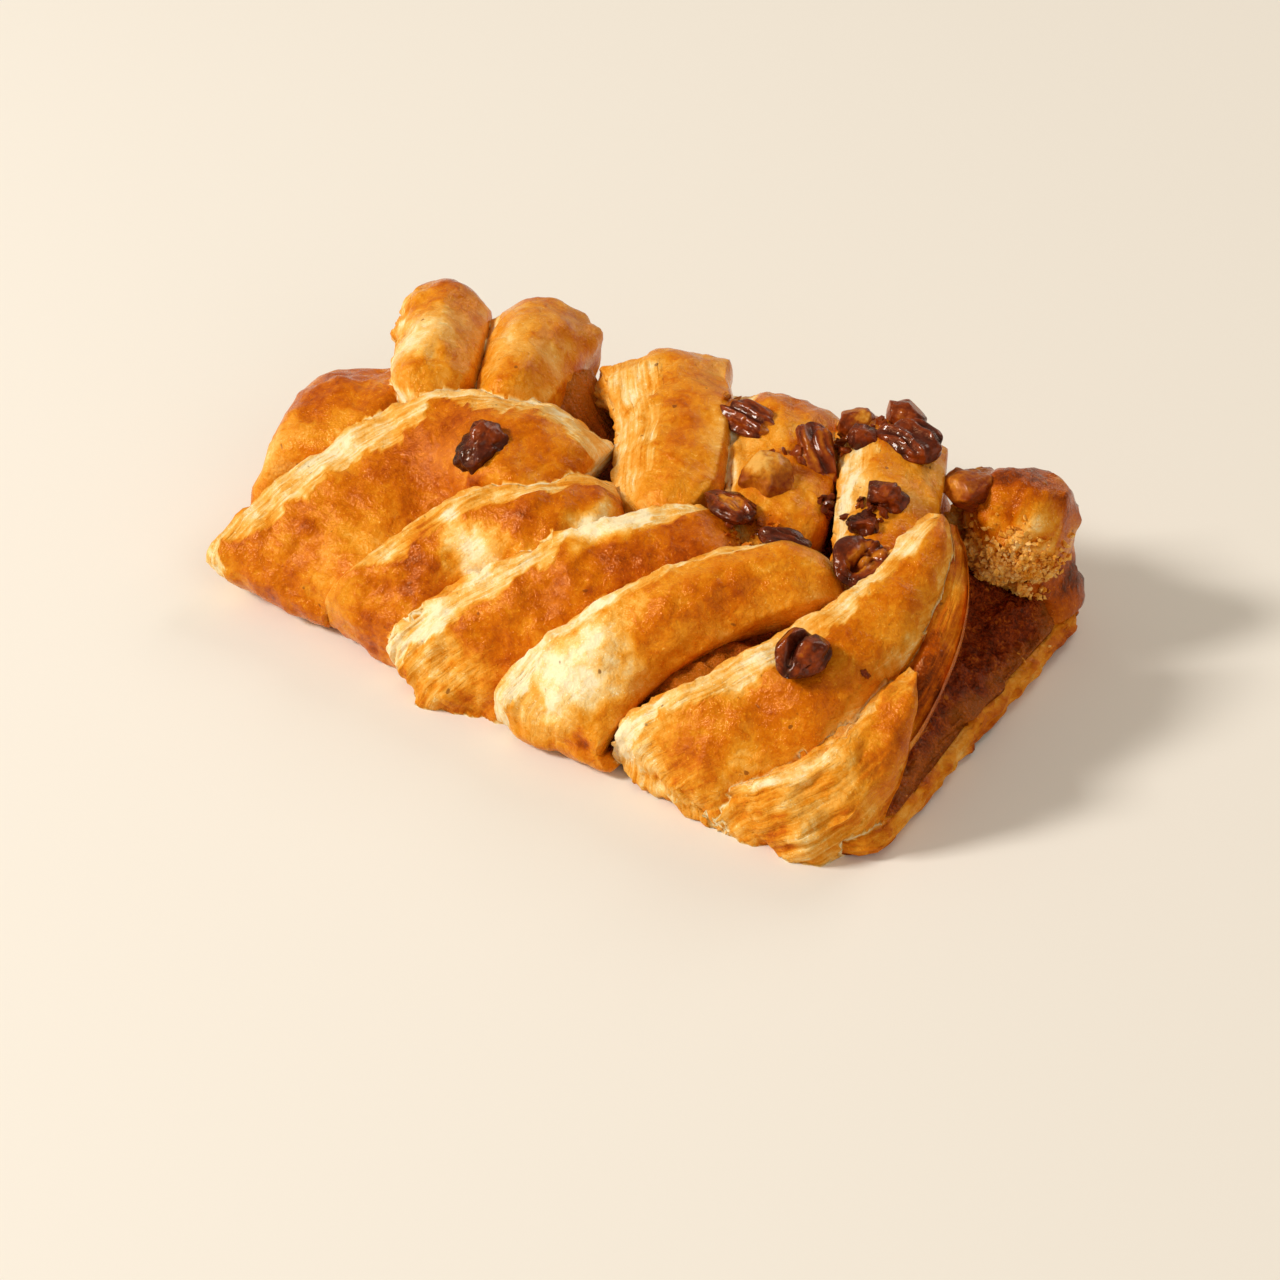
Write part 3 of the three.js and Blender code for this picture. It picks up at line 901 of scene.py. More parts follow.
@dataclass
class Skin:
    """A strip's skin while it is shaped, in arrays with one entry for each vertex.

    t runs from 0 at the root to 1 at the tip and s from 0 to 1 through a zone. a runs across the strip and b
    up from its edge, in millimetres, and w and h are the section's width and thickness.
    """

    strip: Strip
    tube: Tube
    length: float
    at: dict[str, np.ndarray] = field(init=False)
    top: np.ndarray = field(init=False)
    tucked: np.ndarray = field(init=False)
    under: np.ndarray = field(init=False)
    cut: np.ndarray = field(init=False)
    t: np.ndarray = field(init=False)
    s: np.ndarray = field(init=False)
    w: np.ndarray = field(init=False)
    h: np.ndarray = field(init=False)
    a: np.ndarray = field(init=False)
    b: np.ndarray = field(init=False)
    ribbon: np.ndarray = field(init=False)
    ripple: np.ndarray = field(init=False)
    slot: np.ndarray = field(init=False)
    corner: np.ndarray = field(init=False)
    band: np.ndarray = field(init=False)
    low: np.ndarray = field(init=False)
    on_far: np.ndarray = field(init=False)
    sheet: np.ndarray = field(init=False)
    ragged: np.ndarray = field(init=False)
    layered: np.ndarray = field(init=False)
    flaked: np.ndarray = field(init=False)
    crumbled: np.ndarray = field(init=False)
    crag: np.ndarray = field(init=False)
    crinkle: np.ndarray = field(init=False)
    crumb: np.ndarray = field(init=False)
    points: np.ndarray = field(init=False)

    def __post_init__(self) -> None:
        """Spreads the strip's sizes over the vertices."""
        strip = self.strip
        zones, self.s = (values[self.tube.turn] for values in strip.ring_zones())
        self.top, self.tucked, self.under, self.cut = (zones == zone.value for zone in Zone)
        rings = strip.frames(self.tube.along + 1)
        self.at = {name: values[self.tube.ring] for name, values in rings.items()}
        self.t, self.w, self.h = self.at["t"], self.at["width"], self.at["thick"]
        own = np.full(len(self.t), strip.seed * 3.7)
        self.ribbon = np.column_stack((self.t * self.length, 0.0 * self.t, own))
        self.ripple = 1.0 + 0.4 * self.waver(13.0, 30) + 0.2 * self.waver(4.0, 31)
        self.ripple += 0.12 * self.waver(1.7, 32)
        opened = smoothstep(strip.slit - 0.05, strip.slit + 0.2, self.t)
        self.slot = strip.root_band + (1.0 - strip.root_band) * opened
        self.corner = smoothstep(0.0, 0.16, self.s)

    def waver(self, cell: float, step: int) -> np.ndarray:
        """Noise along the strip's own length."""
        return grain(self.ribbon, cell, self.strip.seed + step)

    def noise(self, cell: float, step: int) -> np.ndarray:
        """Noise in space at the placed skin."""
        return grain(self.points, cell, self.strip.seed + step)

    def shape_section(self) -> None:
        """Draws the smooth section: crowned top, rolled tucked side, flat underside and upright cut side."""
        strip, s, w, h = self.strip, self.s, self.w, self.h
        tip = 3.0 * smoothstep(0.93, 1.0, self.t)
        self.band = np.minimum(strip.band * self.ripple * self.slot + tip, 0.45 * w)
        fine = np.minimum(strip.edge_mm, 0.34 * w)
        split = strip.edge_share
        across = np.where(s < split, s / split * fine, fine + (s - split) / (1.0 - split) * (w - fine))
        r = 1.0 - s
        bulge = r**3 + 3.0 * r**2 * s * 1.05 + 3.0 * r * s**2 + s**3 * 0.85
        drop = 3.0 * r**2 * s * 0.3 + 3.0 * r * s**2 * 0.9 + s**3
        climb = np.clip((s - 0.12) / 0.88, 0.0, 1.0)
        self.low = strip.skin_mm + strip.slope * self.band
        crowned = self.at["crown"] * np.sin(np.pi * np.clip(across / w, 0.0, 1.0)) ** 0.8
        upright = -h + 0.12 * h * self.corner + (0.88 * h - self.low) * climb
        zones = (self.top, self.tucked, self.under, self.cut)
        self.a = np.select(zones, (across, w * bulge, w * (0.85 - 0.73 * s), 0.12 * w * (1.0 - self.corner)))
        self.b = np.select(zones, (crowned, -h * drop, -h, upright))

    def split_sheets(self) -> None:
        """Lowers the pale bands along the edges and finds the thin sheet that each place belongs to."""
        strip = self.strip
        near = np.where(self.top, np.clip(self.band - self.a, 0.0, None), 0.0)
        far = np.where(self.top, np.clip(self.a - (self.w - strip.far_band * self.ripple), 0.0, None), 0.0)
        self.on_far = far > 0.0
        stack = np.where(self.cut, self.b + self.low, self.a) / strip.sheet_mm
        lifted = self.ribbon + stack[:, None] * (0.0, 3.0, 0.0)
        self.sheet = stack + 0.7 * self.waver(12.0, 0) + 0.35 * grain(lifted, 5.0, strip.seed + 33)
        own = np.full(len(self.t), strip.seed * 9.1)
        torn = np.column_stack((self.t * self.length / 5.0, np.floor(self.sheet) * 5.3, own))
        self.ragged = 0.75 * grain(torn, 1.0, strip.seed + 40)
        self.ragged += 0.4 * grain(torn * (3.1, 1.0, 1.0), 1.0, strip.seed + 41)
        self.layered = np.clip((near + far) / 0.4, 0.0, 1.0)
        sunk = strip.skin_mm * self.layered + strip.slope * (near + far) - self.layered * 0.16 * self.ragged
        self.b -= np.where(self.top, sunk, 0.0)

    def ease(self, reach: float, way: np.ndarray) -> np.ndarray:
        """Rounding that falls from 1 at an end to 0 at a reach from it."""
        return 1.0 - np.sqrt(1.0 - np.clip(1.0 - way / reach, 0.0, 1.0) ** 2)

    def round_ends(self) -> None:
        """Closes the tip, rounds the root and places the section along the path."""
        strip, w, h, t = self.strip, self.w, self.h, self.t
        if strip.round_tip:
            close = np.sqrt(1.0 - 0.99 * np.clip((t - 0.84) / 0.16, 0.0, 1.0) ** 2)
            self.a = 0.5 * w + (self.a - 0.5 * w) * close
        else:
            nose = np.clip(1.0 - (1.0 - t) * self.length / strip.nose_mm, 0.0, 1.0)
            close = np.sqrt(1.0 - 0.8 * nose**2)
        self.b = -0.5 * h + (self.b + 0.5 * h) * close
        foot = self.ease(strip.foot_mm, t * self.length)
        heel = self.ease(strip.corner_mm, t * self.length)
        self.b = np.where(self.under, self.b, self.b - 0.5 * strip.foot_mm * foot)
        self.a = 0.5 * w + (self.a - 0.5 * w) * (1.0 - heel * strip.corner_mm / w)
        tuck, lift = self.at["tuck"], self.at["lift"]
        self.points = self.at["path"] + tuck * (self.a + self.at["inset"])[:, None] + lift * self.b[:, None]
        edge = np.where(self.top, np.exp(-((self.a / 0.8) ** 2)), 0.0)
        face = np.where(self.cut, self.corner, edge)
        self.points -= tuck * (face * self.slot * self.ragged * (0.6 + 0.4 * strip.torn))[:, None]

    def roughen(self) -> None:
        """Swells, wrinkles, flakes and crumbles the skin."""
        strip = self.strip
        from_torn = 1.0 - self.t if strip.torn_at_tip else self.t
        fade = 1.0 - smoothstep(0.33 * strip.torn_until, strip.torn_until, from_torn)
        torn = np.where(self.top | self.tucked, strip.torn * fade, 0.0)
        self.crumbled = torn if strip.torn_at_tip else 0.35 * torn
        self.flaked = 0.25 * torn if strip.torn_at_tip else torn
        x, y, z = self.points.T
        slow = 0.55 * np.sin(x * 0.31 + z * 0.22) * np.sin(y * 0.37 - 0.8)
        slow += 0.45 * np.sin(x * 0.17 - y * 0.23 + z * 0.29 + 1.3)
        rise = strip.swell * slow + strip.lumps * self.noise(strip.lump_mm, 50)
        for height, cell, step in strip.relief:
            rise += height * self.noise(cell, step)
        self.crag = ridges(self.points, strip.crag_mm, strip.seed + 66)
        self.crag += 0.5 * self.noise(0.5 * strip.crag_mm, 67)
        along, across = strip.crinkle_mm
        way = self.t * self.length
        folds = np.column_stack((way / along, self.a / across + 0.05 * way, self.ribbon[:, 2]))
        self.crinkle = ridges(folds, 1.0, strip.seed)
        flakes = 0.8 * self.crinkle + 0.7 * terraces(self.points, strip.flake_mm, strip.seed + 52)
        self.crumb = 0.6 * self.noise(2.6, 53) + 0.45 * self.noise(1.3, 54)
        rise += strip.crags * self.crag + strip.crinkle * self.crinkle
        rise += self.flaked * flakes + self.crumbled * self.crumb
        self.points = self.points + self.at["lift"] * np.where(self.under, 0.0, rise)[:, None]

    def brown(self) -> tuple[np.ndarray, np.ndarray]:
        """Bakes the skin.

        Returns:
            How brown each place is, and how flaky.
        """
        strip = self.strip
        bake = strip.bake + 0.1 * (np.sin(np.pi * np.clip(self.a / self.w, 0.0, 1.0)) - 0.6)
        bake += 0.08 * self.noise(14.0, 56) + 0.06 * self.noise(5.0, 57) - 0.16 * strip.crags * self.crag
        pale = strip.pale + 0.07 * self.ragged + 0.06 * self.noise(4.0, 62) + 0.12 * self.on_far
        bake = np.where(self.top, bake + self.layered * (pale - strip.bake), bake)
        cut = strip.cut_bake + 0.09 * self.ragged + 0.05 * self.noise(6.0, 63)
        hidden = strip.tucked_bake + 0.08 * self.noise(4.0, 64)
        bake = np.select((self.cut, self.tucked | self.under), (cut, hidden), bake)
        bake -= self.flaked * (0.06 + 0.2 * self.crinkle + 0.06 * self.noise(4.0, 58))
        bake -= self.crumbled * (0.1 + 0.3 * self.crumb)
        flaky = np.clip(np.where(self.cut, 1.0, self.layered) + 0.8 * self.flaked, 0.0, 1.0)
        return bake, flaky


@dataclass(frozen=True)
class BaseSheet:
    """The oblong sheet under everything, with a wavy layered rim."""

    name: str = "base_sheet"
    left: float = -68.0
    right: float = 75.5
    near: float = -38.0
    far: float = 40.0
    flare: float = 3.0
    far_flare: float = 5.0
    corner: float = 7.0
    wave: float = 0.9
    crag: float = 1.0
    height: float = 5.2
    level_z: tuple[float, ...] = (0.0, 1.0, 2.6, 4.2, 5.2)
    level_inset: tuple[float, ...] = (2.4, 0.7, 0.0, 0.5, 1.8)
    around: int = 420
    levels: int = 16
    sheet_mm: float = 1.2
    streak_mm: float = 6.0
    sag: float = 0.6
    bead: float = 0.35
    bake: float = 0.5
    foot: float = 1.2
    foot_bake: float = 0.2
    rim_flaky: float = 0.9
    top_flaky: float = 0.2

    def outline(self, count: int) -> np.ndarray:
        """Evenly spaced points of the rounded oblong about its own middle.

        Args:
            count: how many points.

        Returns:
            Points in the plane, one row each.
        """
        half_x = (self.right - self.left) / 2.0 - self.corner
        half_y = (self.far - self.near) / 2.0 - self.corner
        bend = np.linspace(0.0, math.pi / 2.0, 12)
        runs = []
        corners = ((half_x, -half_y), (half_x, half_y), (-half_x, half_y), (-half_x, -half_y))
        for k, (x, y) in enumerate(corners):
            angle = bend + (k - 1) * math.pi / 2.0
            runs.append(np.stack((x + self.corner * np.cos(angle), y + self.corner * np.sin(angle)), axis=1))
        loop = np.vstack(runs + [runs[0][:1]])
        length = np.concatenate(([0.0], np.cumsum(np.linalg.norm(np.diff(loop, axis=0), axis=1))))
        at = np.linspace(0.0, length[-1], count, endpoint=False)
        return np.stack([np.interp(at, length, loop[:, k]) for k in range(2)], axis=1)

    def build(self) -> bpy.types.Object:
        """Models the sheet from levels of its outline.

        Returns:
            The sheet's closed mesh with its bake, flaky, sheet and run numbers.
        """
        tube = Tube(self.name, self.around, self.levels)
        flat = self.outline(self.around)[tube.turn]
        z = tube.ring / self.levels * self.height
        inset = np.interp(z, self.level_z, self.level_inset)
        half_x = (self.right - self.left) / 2.0
        half_y = (self.far - self.near) / 2.0
        spot = np.column_stack((flat, z))
        wave = self.wave * np.sin(flat[:, 0] * 0.21 + 0.6) * np.sin(flat[:, 1] * 0.13 + 0.9)
        sheet = z / self.sheet_mm + 0.4 * grain(np.column_stack((flat, 0.0 * z)), 8.0, 81)
        own = np.column_stack((flat / 6.0, np.floor(sheet) * 4.7))
        ragged = 0.5 * grain(own, 1.0, 82) + 0.35 * grain(own * (2.7, 2.7, 1.0), 1.0, 83)
        bead = np.abs(np.sin(np.pi * sheet)) ** 0.6
        out = wave + self.crag * ragged + self.bead * bead - inset
        reach = 1.0 + out / np.linalg.norm(flat, axis=1)
        widen = np.where(flat[:, 1] < 0.0, self.flare, self.far_flare)
        flare = 1.0 + widen * flat[:, 0] / (half_x * half_y)
        points = np.column_stack(
            (
                (self.right + self.left) / 2.0 + flat[:, 0] * reach,
                (self.far + self.near) / 2.0 + flat[:, 1] * reach * flare,
                z,
            )
        )
        dips = self.sag * grain(spot, 7.0, 84) + 0.3 * grain(spot, 2.6, 86) - self.sag
        points[:, 2] += z / self.height * dips
        tube.close_hubs(points)
        bake = self.bake + 0.12 * grain(spot, 9.0, 85) + 0.14 * ragged
        bake += np.where(z < self.foot, self.foot_bake, 0.0)
        rim = (z > 0.8) & (z < self.height - 0.1) & ~tube.hub
        flaky = np.where(rim, self.rim_flaky, self.top_flaky)
        girth = 2.0 * (self.right - self.left + self.far - self.near)
        settle(tube.piece, points)
        set_crust(tube.piece, bake, flaky, sheet, tube.turn / self.around * girth / self.streak_mm)
        return tube.piece


@dataclass
class Dough:
    """The plait's dough: base sheet, end flap and crossed strips grown into one crust."""

    finish: BakedPuffPastry = BakedPuffPastry()
    crease: float = 60.0
    base: BaseSheet = BaseSheet()
    flap: Strip = Strip(
        "end_flap", Lean.LEFT_END, ((-66, 18, 3), (-72.3, 17, 10), (-70.5, 16, 20.5), (-50, 16, 24)),
        width=(50, 34, 28), thick=9, roll=0, crown=6.5, slit=0.25, seed=13, band=1.5, torn=0.2, crags=0.25,
        bake=0.57,
    )
    strips: tuple[Strip, ...] = (
        Strip(
            "near_1", Lean.NEAR,
            ((-70, -36.8, 1), (-69.5, -38.5, 12), (-52, -5, 31), (-34, 9, 34.5), (-9, 12.5, 31.5)),
            width=(27, 28, 26), thick=11, roll=12, crown=3, slit=0.3, seed=1, taper=0.18, band=7.5,
            root_band=0.8, pale=0.21, torn=0.15, bake=0.54,
        ),
        Strip(
            "near_2", Lean.NEAR,
            ((-43, -38, 1), (-41, -39.5, 12), (-22, -19, 31), (-9, -5, 32), (-4, 1, 31)),
            width=(18, 22, 18), thick=9, roll=24, crown=3, slit=0.25, seed=2, taper=0.3, band=4.0,
            root_band=0.0, torn=0.2, bake=0.56,
        ),
        Strip(
            "near_3", Lean.NEAR,
            ((-28, -40.5, 1), (-24, -41.5, 12), (-7, -27.5, 26), (9, -9, 32), (22, 2.5, 31.5)),
            width=(30, 24, 19), thick=9, roll=24, crown=3.2, slit=0.05, seed=3, root_roll=-8.0, taper=0.4,
            band=3.5, torn=1.0, bake=0.6,
        ),
        Strip(
            "near_4", Lean.NEAR,
            ((0, -44.5, 1), (1, -44.5, 12), (16, -27, 28), (33, -8.5, 33.5), (46, 0, 31)),
            width=(25, 17.5, 14), thick=10, roll=24, crown=4, slit=0.2, seed=4, band=3.2, torn=0.35,
            bake=0.53,
        ),
        Strip(
            "near_5", Lean.NEAR,
            ((24, -43.5, 1), (26, -44, 12), (42, -31.5, 25.5), (55.5, -5, 35), (56, 11, 38.5)),
            width=(28, 24, 7), thick=9, roll=18, crown=3.4, slit=0.05, seed=5, root_roll=-3.0, band=5.0,
            far_band=3.5, torn=0.9, bake=0.51,
        ),
        Strip(
            "near_6", Lean.NEAR,
            ((56, -38, 1), (58, -37, 12), (65.5, -22, 20.5), (65.5, -5, 30), (58.5, 10, 36.5)),
            width=(14, 8.5, 5), thick=7, roll=12, crown=1.6, slit=0.2, seed=6, band=3.0, far_band=4.0,
            pale=0.46, torn=0.4, bake=0.62, tucked_bake=0.62,
        ),
        Strip(
            "near_7", Lean.NEAR,
            ((44, -46.3, 1), (50.5, -46, 9.5), (60.5, -40.5, 15.5), (66, -33.5, 20.8), (70.5, -19, 27.5)),
            width=(26, 20, 2), thick=6, roll=42, crown=3.5, slit=0.02, seed=14, root_roll=5.0, band=1.4,
            root_band=0.3, pale=0.36, far_band=2.4, torn=0.9, torn_until=0.9, bake=0.46,
        ),
        Strip(
            "far_2", Lean.FAR,
            ((-73, 38.5, 1), (-74, 40, 12), (-71, 29, 32.5), (-60, 9, 33), (-53, -4, 30)),
            width=(19, 18, 16), thick=10, roll=0, crown=5, slit=0.1, seed=7, band=1.2, torn=0.0, bake=0.42,
        ),
        Strip(
            "far_3", Lean.FAR,
            ((-56, 40.5, 1), (-58, 42, 12), (-54, 34, 29.5), (-44, 14, 29.5), (-38, 2, 26.5)),
            width=(24, 23, 14), thick=9, roll=2, crown=7.5, slit=0.1, seed=8, band=1.8, torn=0.0, bake=0.42,
        ),
        Strip(
            "far_4", Lean.FAR,
            ((-30, 41, 1), (-31, 42, 12), (-25.5, 31.5, 31), (-11, 12, 31), (1, -10, 25)),
            width=(26, 24, 20), thick=10, roll=-6, crown=3, slit=0.1, seed=9, band=11.5, pale=0.3, torn=0.0,
            bake=0.43,
        ),
        Strip(
            "far_5", Lean.FAR, ((0, 41.5, 1), (-2, 42.5, 12), (2, 33, 31.5), (13, 14, 31.5), (24, -7, 25)),
            width=(26, 22, 18), thick=10, roll=4, crown=3.5, slit=0.1, seed=10, band=3.0, torn=0.0,
            crags=0.3, bake=0.52,
        ),
        Strip(
            "far_6", Lean.FAR, ((26, 42, 1), (24, 43, 12), (26.5, 34, 34), (37, 14, 34), (46, -7, 27)),
            width=(25, 20, 16), thick=10, roll=6, crown=3.5, slit=0.1, seed=11, band=4.5, torn=0.0,
            crags=0.3, bake=0.5,
        ),
        Strip(
            "far_7", Lean.FAR,
            ((51, 44, 1), (50, 44.5, 12), (51.5, 39.5, 27), (53.5, 32.5, 29), (57, 26.5, 12)),
            width=(25, 20, 18), thick=13, roll=4, crown=5, slit=0.1, taper=0.2, seed=12, band=1.0, torn=1.0,
            torn_at_tip=True, round_tip=True, lumps=0.9, crags=0.75, bake=0.62, tucked_bake=0.7,
        ),
    )
    patches: tuple[BakePatch, ...] = (
        BakePatch((15.8, -40.0, 17.4), 9.0, -0.44, -0.6),
        BakePatch((18.0, -34.5, 23.5), 6.0, -0.3, -0.6),
        BakePatch((11.0, -44.3, 9.5), 8.0, -0.2, 0.3),
        BakePatch((19.7, -44.7, 6.4), 2.2, 0.3),
        BakePatch((33.1, -21.6, 31.8), 9.0, 0.04),
        BakePatch((6.8, -13.0, 31.4), 7.0, -0.7, -0.3),
        BakePatch((2.7, -17.8, 30.0), 4.8, -0.5, -0.2),
        BakePatch((-16.0, -41.4, 12.0), 8.5, -0.24, 0.5),
        BakePatch((-6.0, -42.0, 8.5), 6.0, -0.22, 0.4),
        BakePatch((1.7, -25.2, 27.3), 9.0, 0.12),
        BakePatch((24.6, -2.4, 33.5), 6.0, 0.16),
        BakePatch((-15.4, -27.4, 22.8), 5.5, -0.5, 0.35),
        BakePatch((-21.0, -26.4, 25.5), 4.0, -0.4, 0.3),
        BakePatch((-25.9, -32.9, 20.3), 3.4, 0.2),
        BakePatch((-25.3, -36.0, 16.7), 2.4, 0.15),
        BakePatch((-31.7, -40.3, 10.7), 1.8, 0.2),
        BakePatch((-24.1, -14.8, 28.9), 2.4, 0.4),
        BakePatch((-51.2, -31.3, 18.3), 1.8, 0.2),
        BakePatch((-57.8, -38.0, 12.3), 10.0, 0.08),
        BakePatch((-53.9, -38.2, 2.2), 7.0, 0.1),
        BakePatch((-38.1, -2.8, 33.4), 9.0, 0.06),
        BakePatch((-68.5, 0.9, 27.9), 8.0, 0.04),
        BakePatch((-71.5, -14.0, 17.0), 9.0, -0.22, 0.6),
        BakePatch((-54.3, 12.0, 38.2), 8.5, -0.34, -0.2),
        BakePatch((-62.1, 31.2, 36.4), 7.0, 0.1),
        BakePatch((-37.8, 20.3, 34.8), 8.0, -0.16),
        BakePatch((-29.0, 31.6, 34.2), 5.0, 0.14),
        BakePatch((-7.3, 10.5, 32.4), 7.0, -0.1, 0.4),
        BakePatch((-15.1, 22.7, 34.4), 7.0, -0.12, 0.4),
        BakePatch((19.0, 15.8, 34.3), 6.0, -0.06, 0.2),
        BakePatch((29.4, 8.9, 33.1), 5.0, -0.16),
        BakePatch((16.2, 31.6, 35.8), 7.0, 0.1),
        BakePatch((40.0, 12.3, 35.0), 5.0, -0.18, 0.4),
        BakePatch((66.8, 31.4, 33.8), 8.0, 0.06),
        BakePatch((66.0, 24.5, 16.5), 8.0, -0.24, 0.3),
        BakePatch((66.5, 27.5, 29.5), 6.0, -0.1),
        BakePatch((62.5, 25.5, 25.0), 6.0, -0.12),
        BakePatch((73.5, 41.6, 11.0), 4.5, 0.16),
        BakePatch((30.0, -45.0, 8.0), 8.0, -0.24, 0.6),
        BakePatch((42.0, -46.3, 3.0), 8.0, -0.2, 0.6),
        BakePatch((48.8, -40.4, 16.6), 9.0, 0.03),
        BakePatch((62.0, -43.0, 8.0), 11.0, -0.12, 0.35),
        BakePatch((60.2, -16.5, 31.8), 7.0, -0.04),
        BakePatch((73.2, -17.8, 22.8), 7.0, 0.14),
        BakePatch((71.5, -33.0, 20.0), 6.0, 0.1),
        BakePatch((74.0, 44.0, 8.0), 7.0, 0.08),
    )
    knobs: tuple[Knob, ...] = (
        Knob((-29.5, 35.5, 31.0), 2.0, 1.7),
        Knob((-32.0, 39.0, 31.0), 2.2, 1.6),
        Knob((-34.5, 31.0, 36.5), 2.4, 0.9),
        Knob((-36.0, 41.5, 32.5), 2.2, 1.4),
        Knob((71.5, 38.3, 25.5), 2.2, 2.4),
        Knob((1.0, 34.0, 36.0), 5.0, -1.6),
        Knob((61.0, 34.0, 34.0), 3.0, 1.2),
        Knob((67.5, 31.0, 33.0), 3.2, 1.3),
        Knob((70.5, 30.0, 27.5), 2.8, 1.4),
        Knob((62.5, 26.5, 28.0), 2.6, 0.9),
        Knob((-51.2, -31.3, 18.3), 1.4, 1.0),
        Knob((-70.5, -38.5, 8.0), 2.6, 0.9),
        Knob((-62.5, 33.0, 36.5), 3.0, 0.8),
        Knob((-68.0, 35.5, 34.0), 2.6, 0.9),
    )

    def grow_together(self, shells: list[bpy.types.Object]) -> bpy.types.Object:
        """Joins the closed shells into one skin.

        Args:
            shells: base sheet, flap and strips.

        Returns:
            The one dough object.
        """
        bunch = bpy.data.collections.new("dough_shells")
        bpy.context.scene.collection.children.link(bunch)
        for shell in shells[1:]:
            for owner in list(shell.users_collection):
                owner.objects.unlink(shell)
            bunch.objects.link(shell)
        dough = shells[0]
        dough.name = "dough"
        union = {"operation": "UNION", "operand_type": "COLLECTION", "collection": bunch}
        apply_modifier(dough, "BOOLEAN", solver="MANIFOLD", **union)
        for shell in shells[1:]:
            bpy.data.meshes.remove(shell.data)
        bpy.data.collections.remove(bunch)
        return dough

    def stand_flat(self, dough: bpy.types.Object) -> None:
        """Cuts off what dips under the surface that the plait rests on.

        Args:
            dough: the joined dough.
        """
        deselect()
        bpy.ops.mesh.primitive_cube_add(size=1.0, location=(0, 0, -0.5))
        block = bpy.context.object
        apply_modifier(dough, "BOOLEAN", operation="DIFFERENCE", object=block, solver="MANIFOLD")
        bpy.data.meshes.remove(block.data)

    def raise_knobs(self, dough: bpy.types.Object) -> None:
        """Swells the crust outward round each knob.

        Args:
            dough: the joined dough.
        """
        points = places_of(dough) / MM - FRAME_SHIFT
        normals = np.array([vertex.normal for vertex in dough.data.vertices])
        for knob in self.knobs:
            near = np.exp(-np.sum((points - np.array(knob.at)) ** 2, axis=1) / knob.reach**2)
            points += normals * (knob.rise * near)[:, None]
        settle(dough, points)

    def colour_patches(self, dough: bpy.types.Object) -> None:
        """Makes the dough paler, browner or more broken in the patches.

        Args:
            dough: the joined dough.
        """
        points = places_of(dough) / MM - FRAME_SHIFT
        bake, flaky = get_attribute(dough, "bake"), get_attribute(dough, "flaky")
        for patch in self.patches:
            weight = patch.weight(points)
            bake += patch.bake * weight
            flaky += patch.flaky * weight
        set_attribute(dough, "bake", np.clip(bake, 0.02, 0.98))
        set_attribute(dough, "flaky", np.clip(flaky, 0.0, 1.0))

    def build(self) -> bpy.types.Object:
        """Models, joins and dresses the dough.

        Returns:
            The one dough object.
        """
        shells = [self.base.build(), self.flap.build()] + [strip.build() for strip in self.strips]
        dough = self.grow_together(shells)
        self.raise_knobs(dough)
        self.stand_flat(dough)
        self.colour_patches(dough)
        smooth(dough, self.crease)
        dough.data.materials.clear()
        dough.data.materials.append(self.finish.material())
        declare(dough, Slot.PASTRY, "pastry")
        return dough


@dataclass(frozen=True)
class CrumbHeap:
    """Crumbs that cling round one place."""

    at: tuple[float, float, float]
    reach: float
    count: int
    size_mm: tuple[float, float]
    shade: float


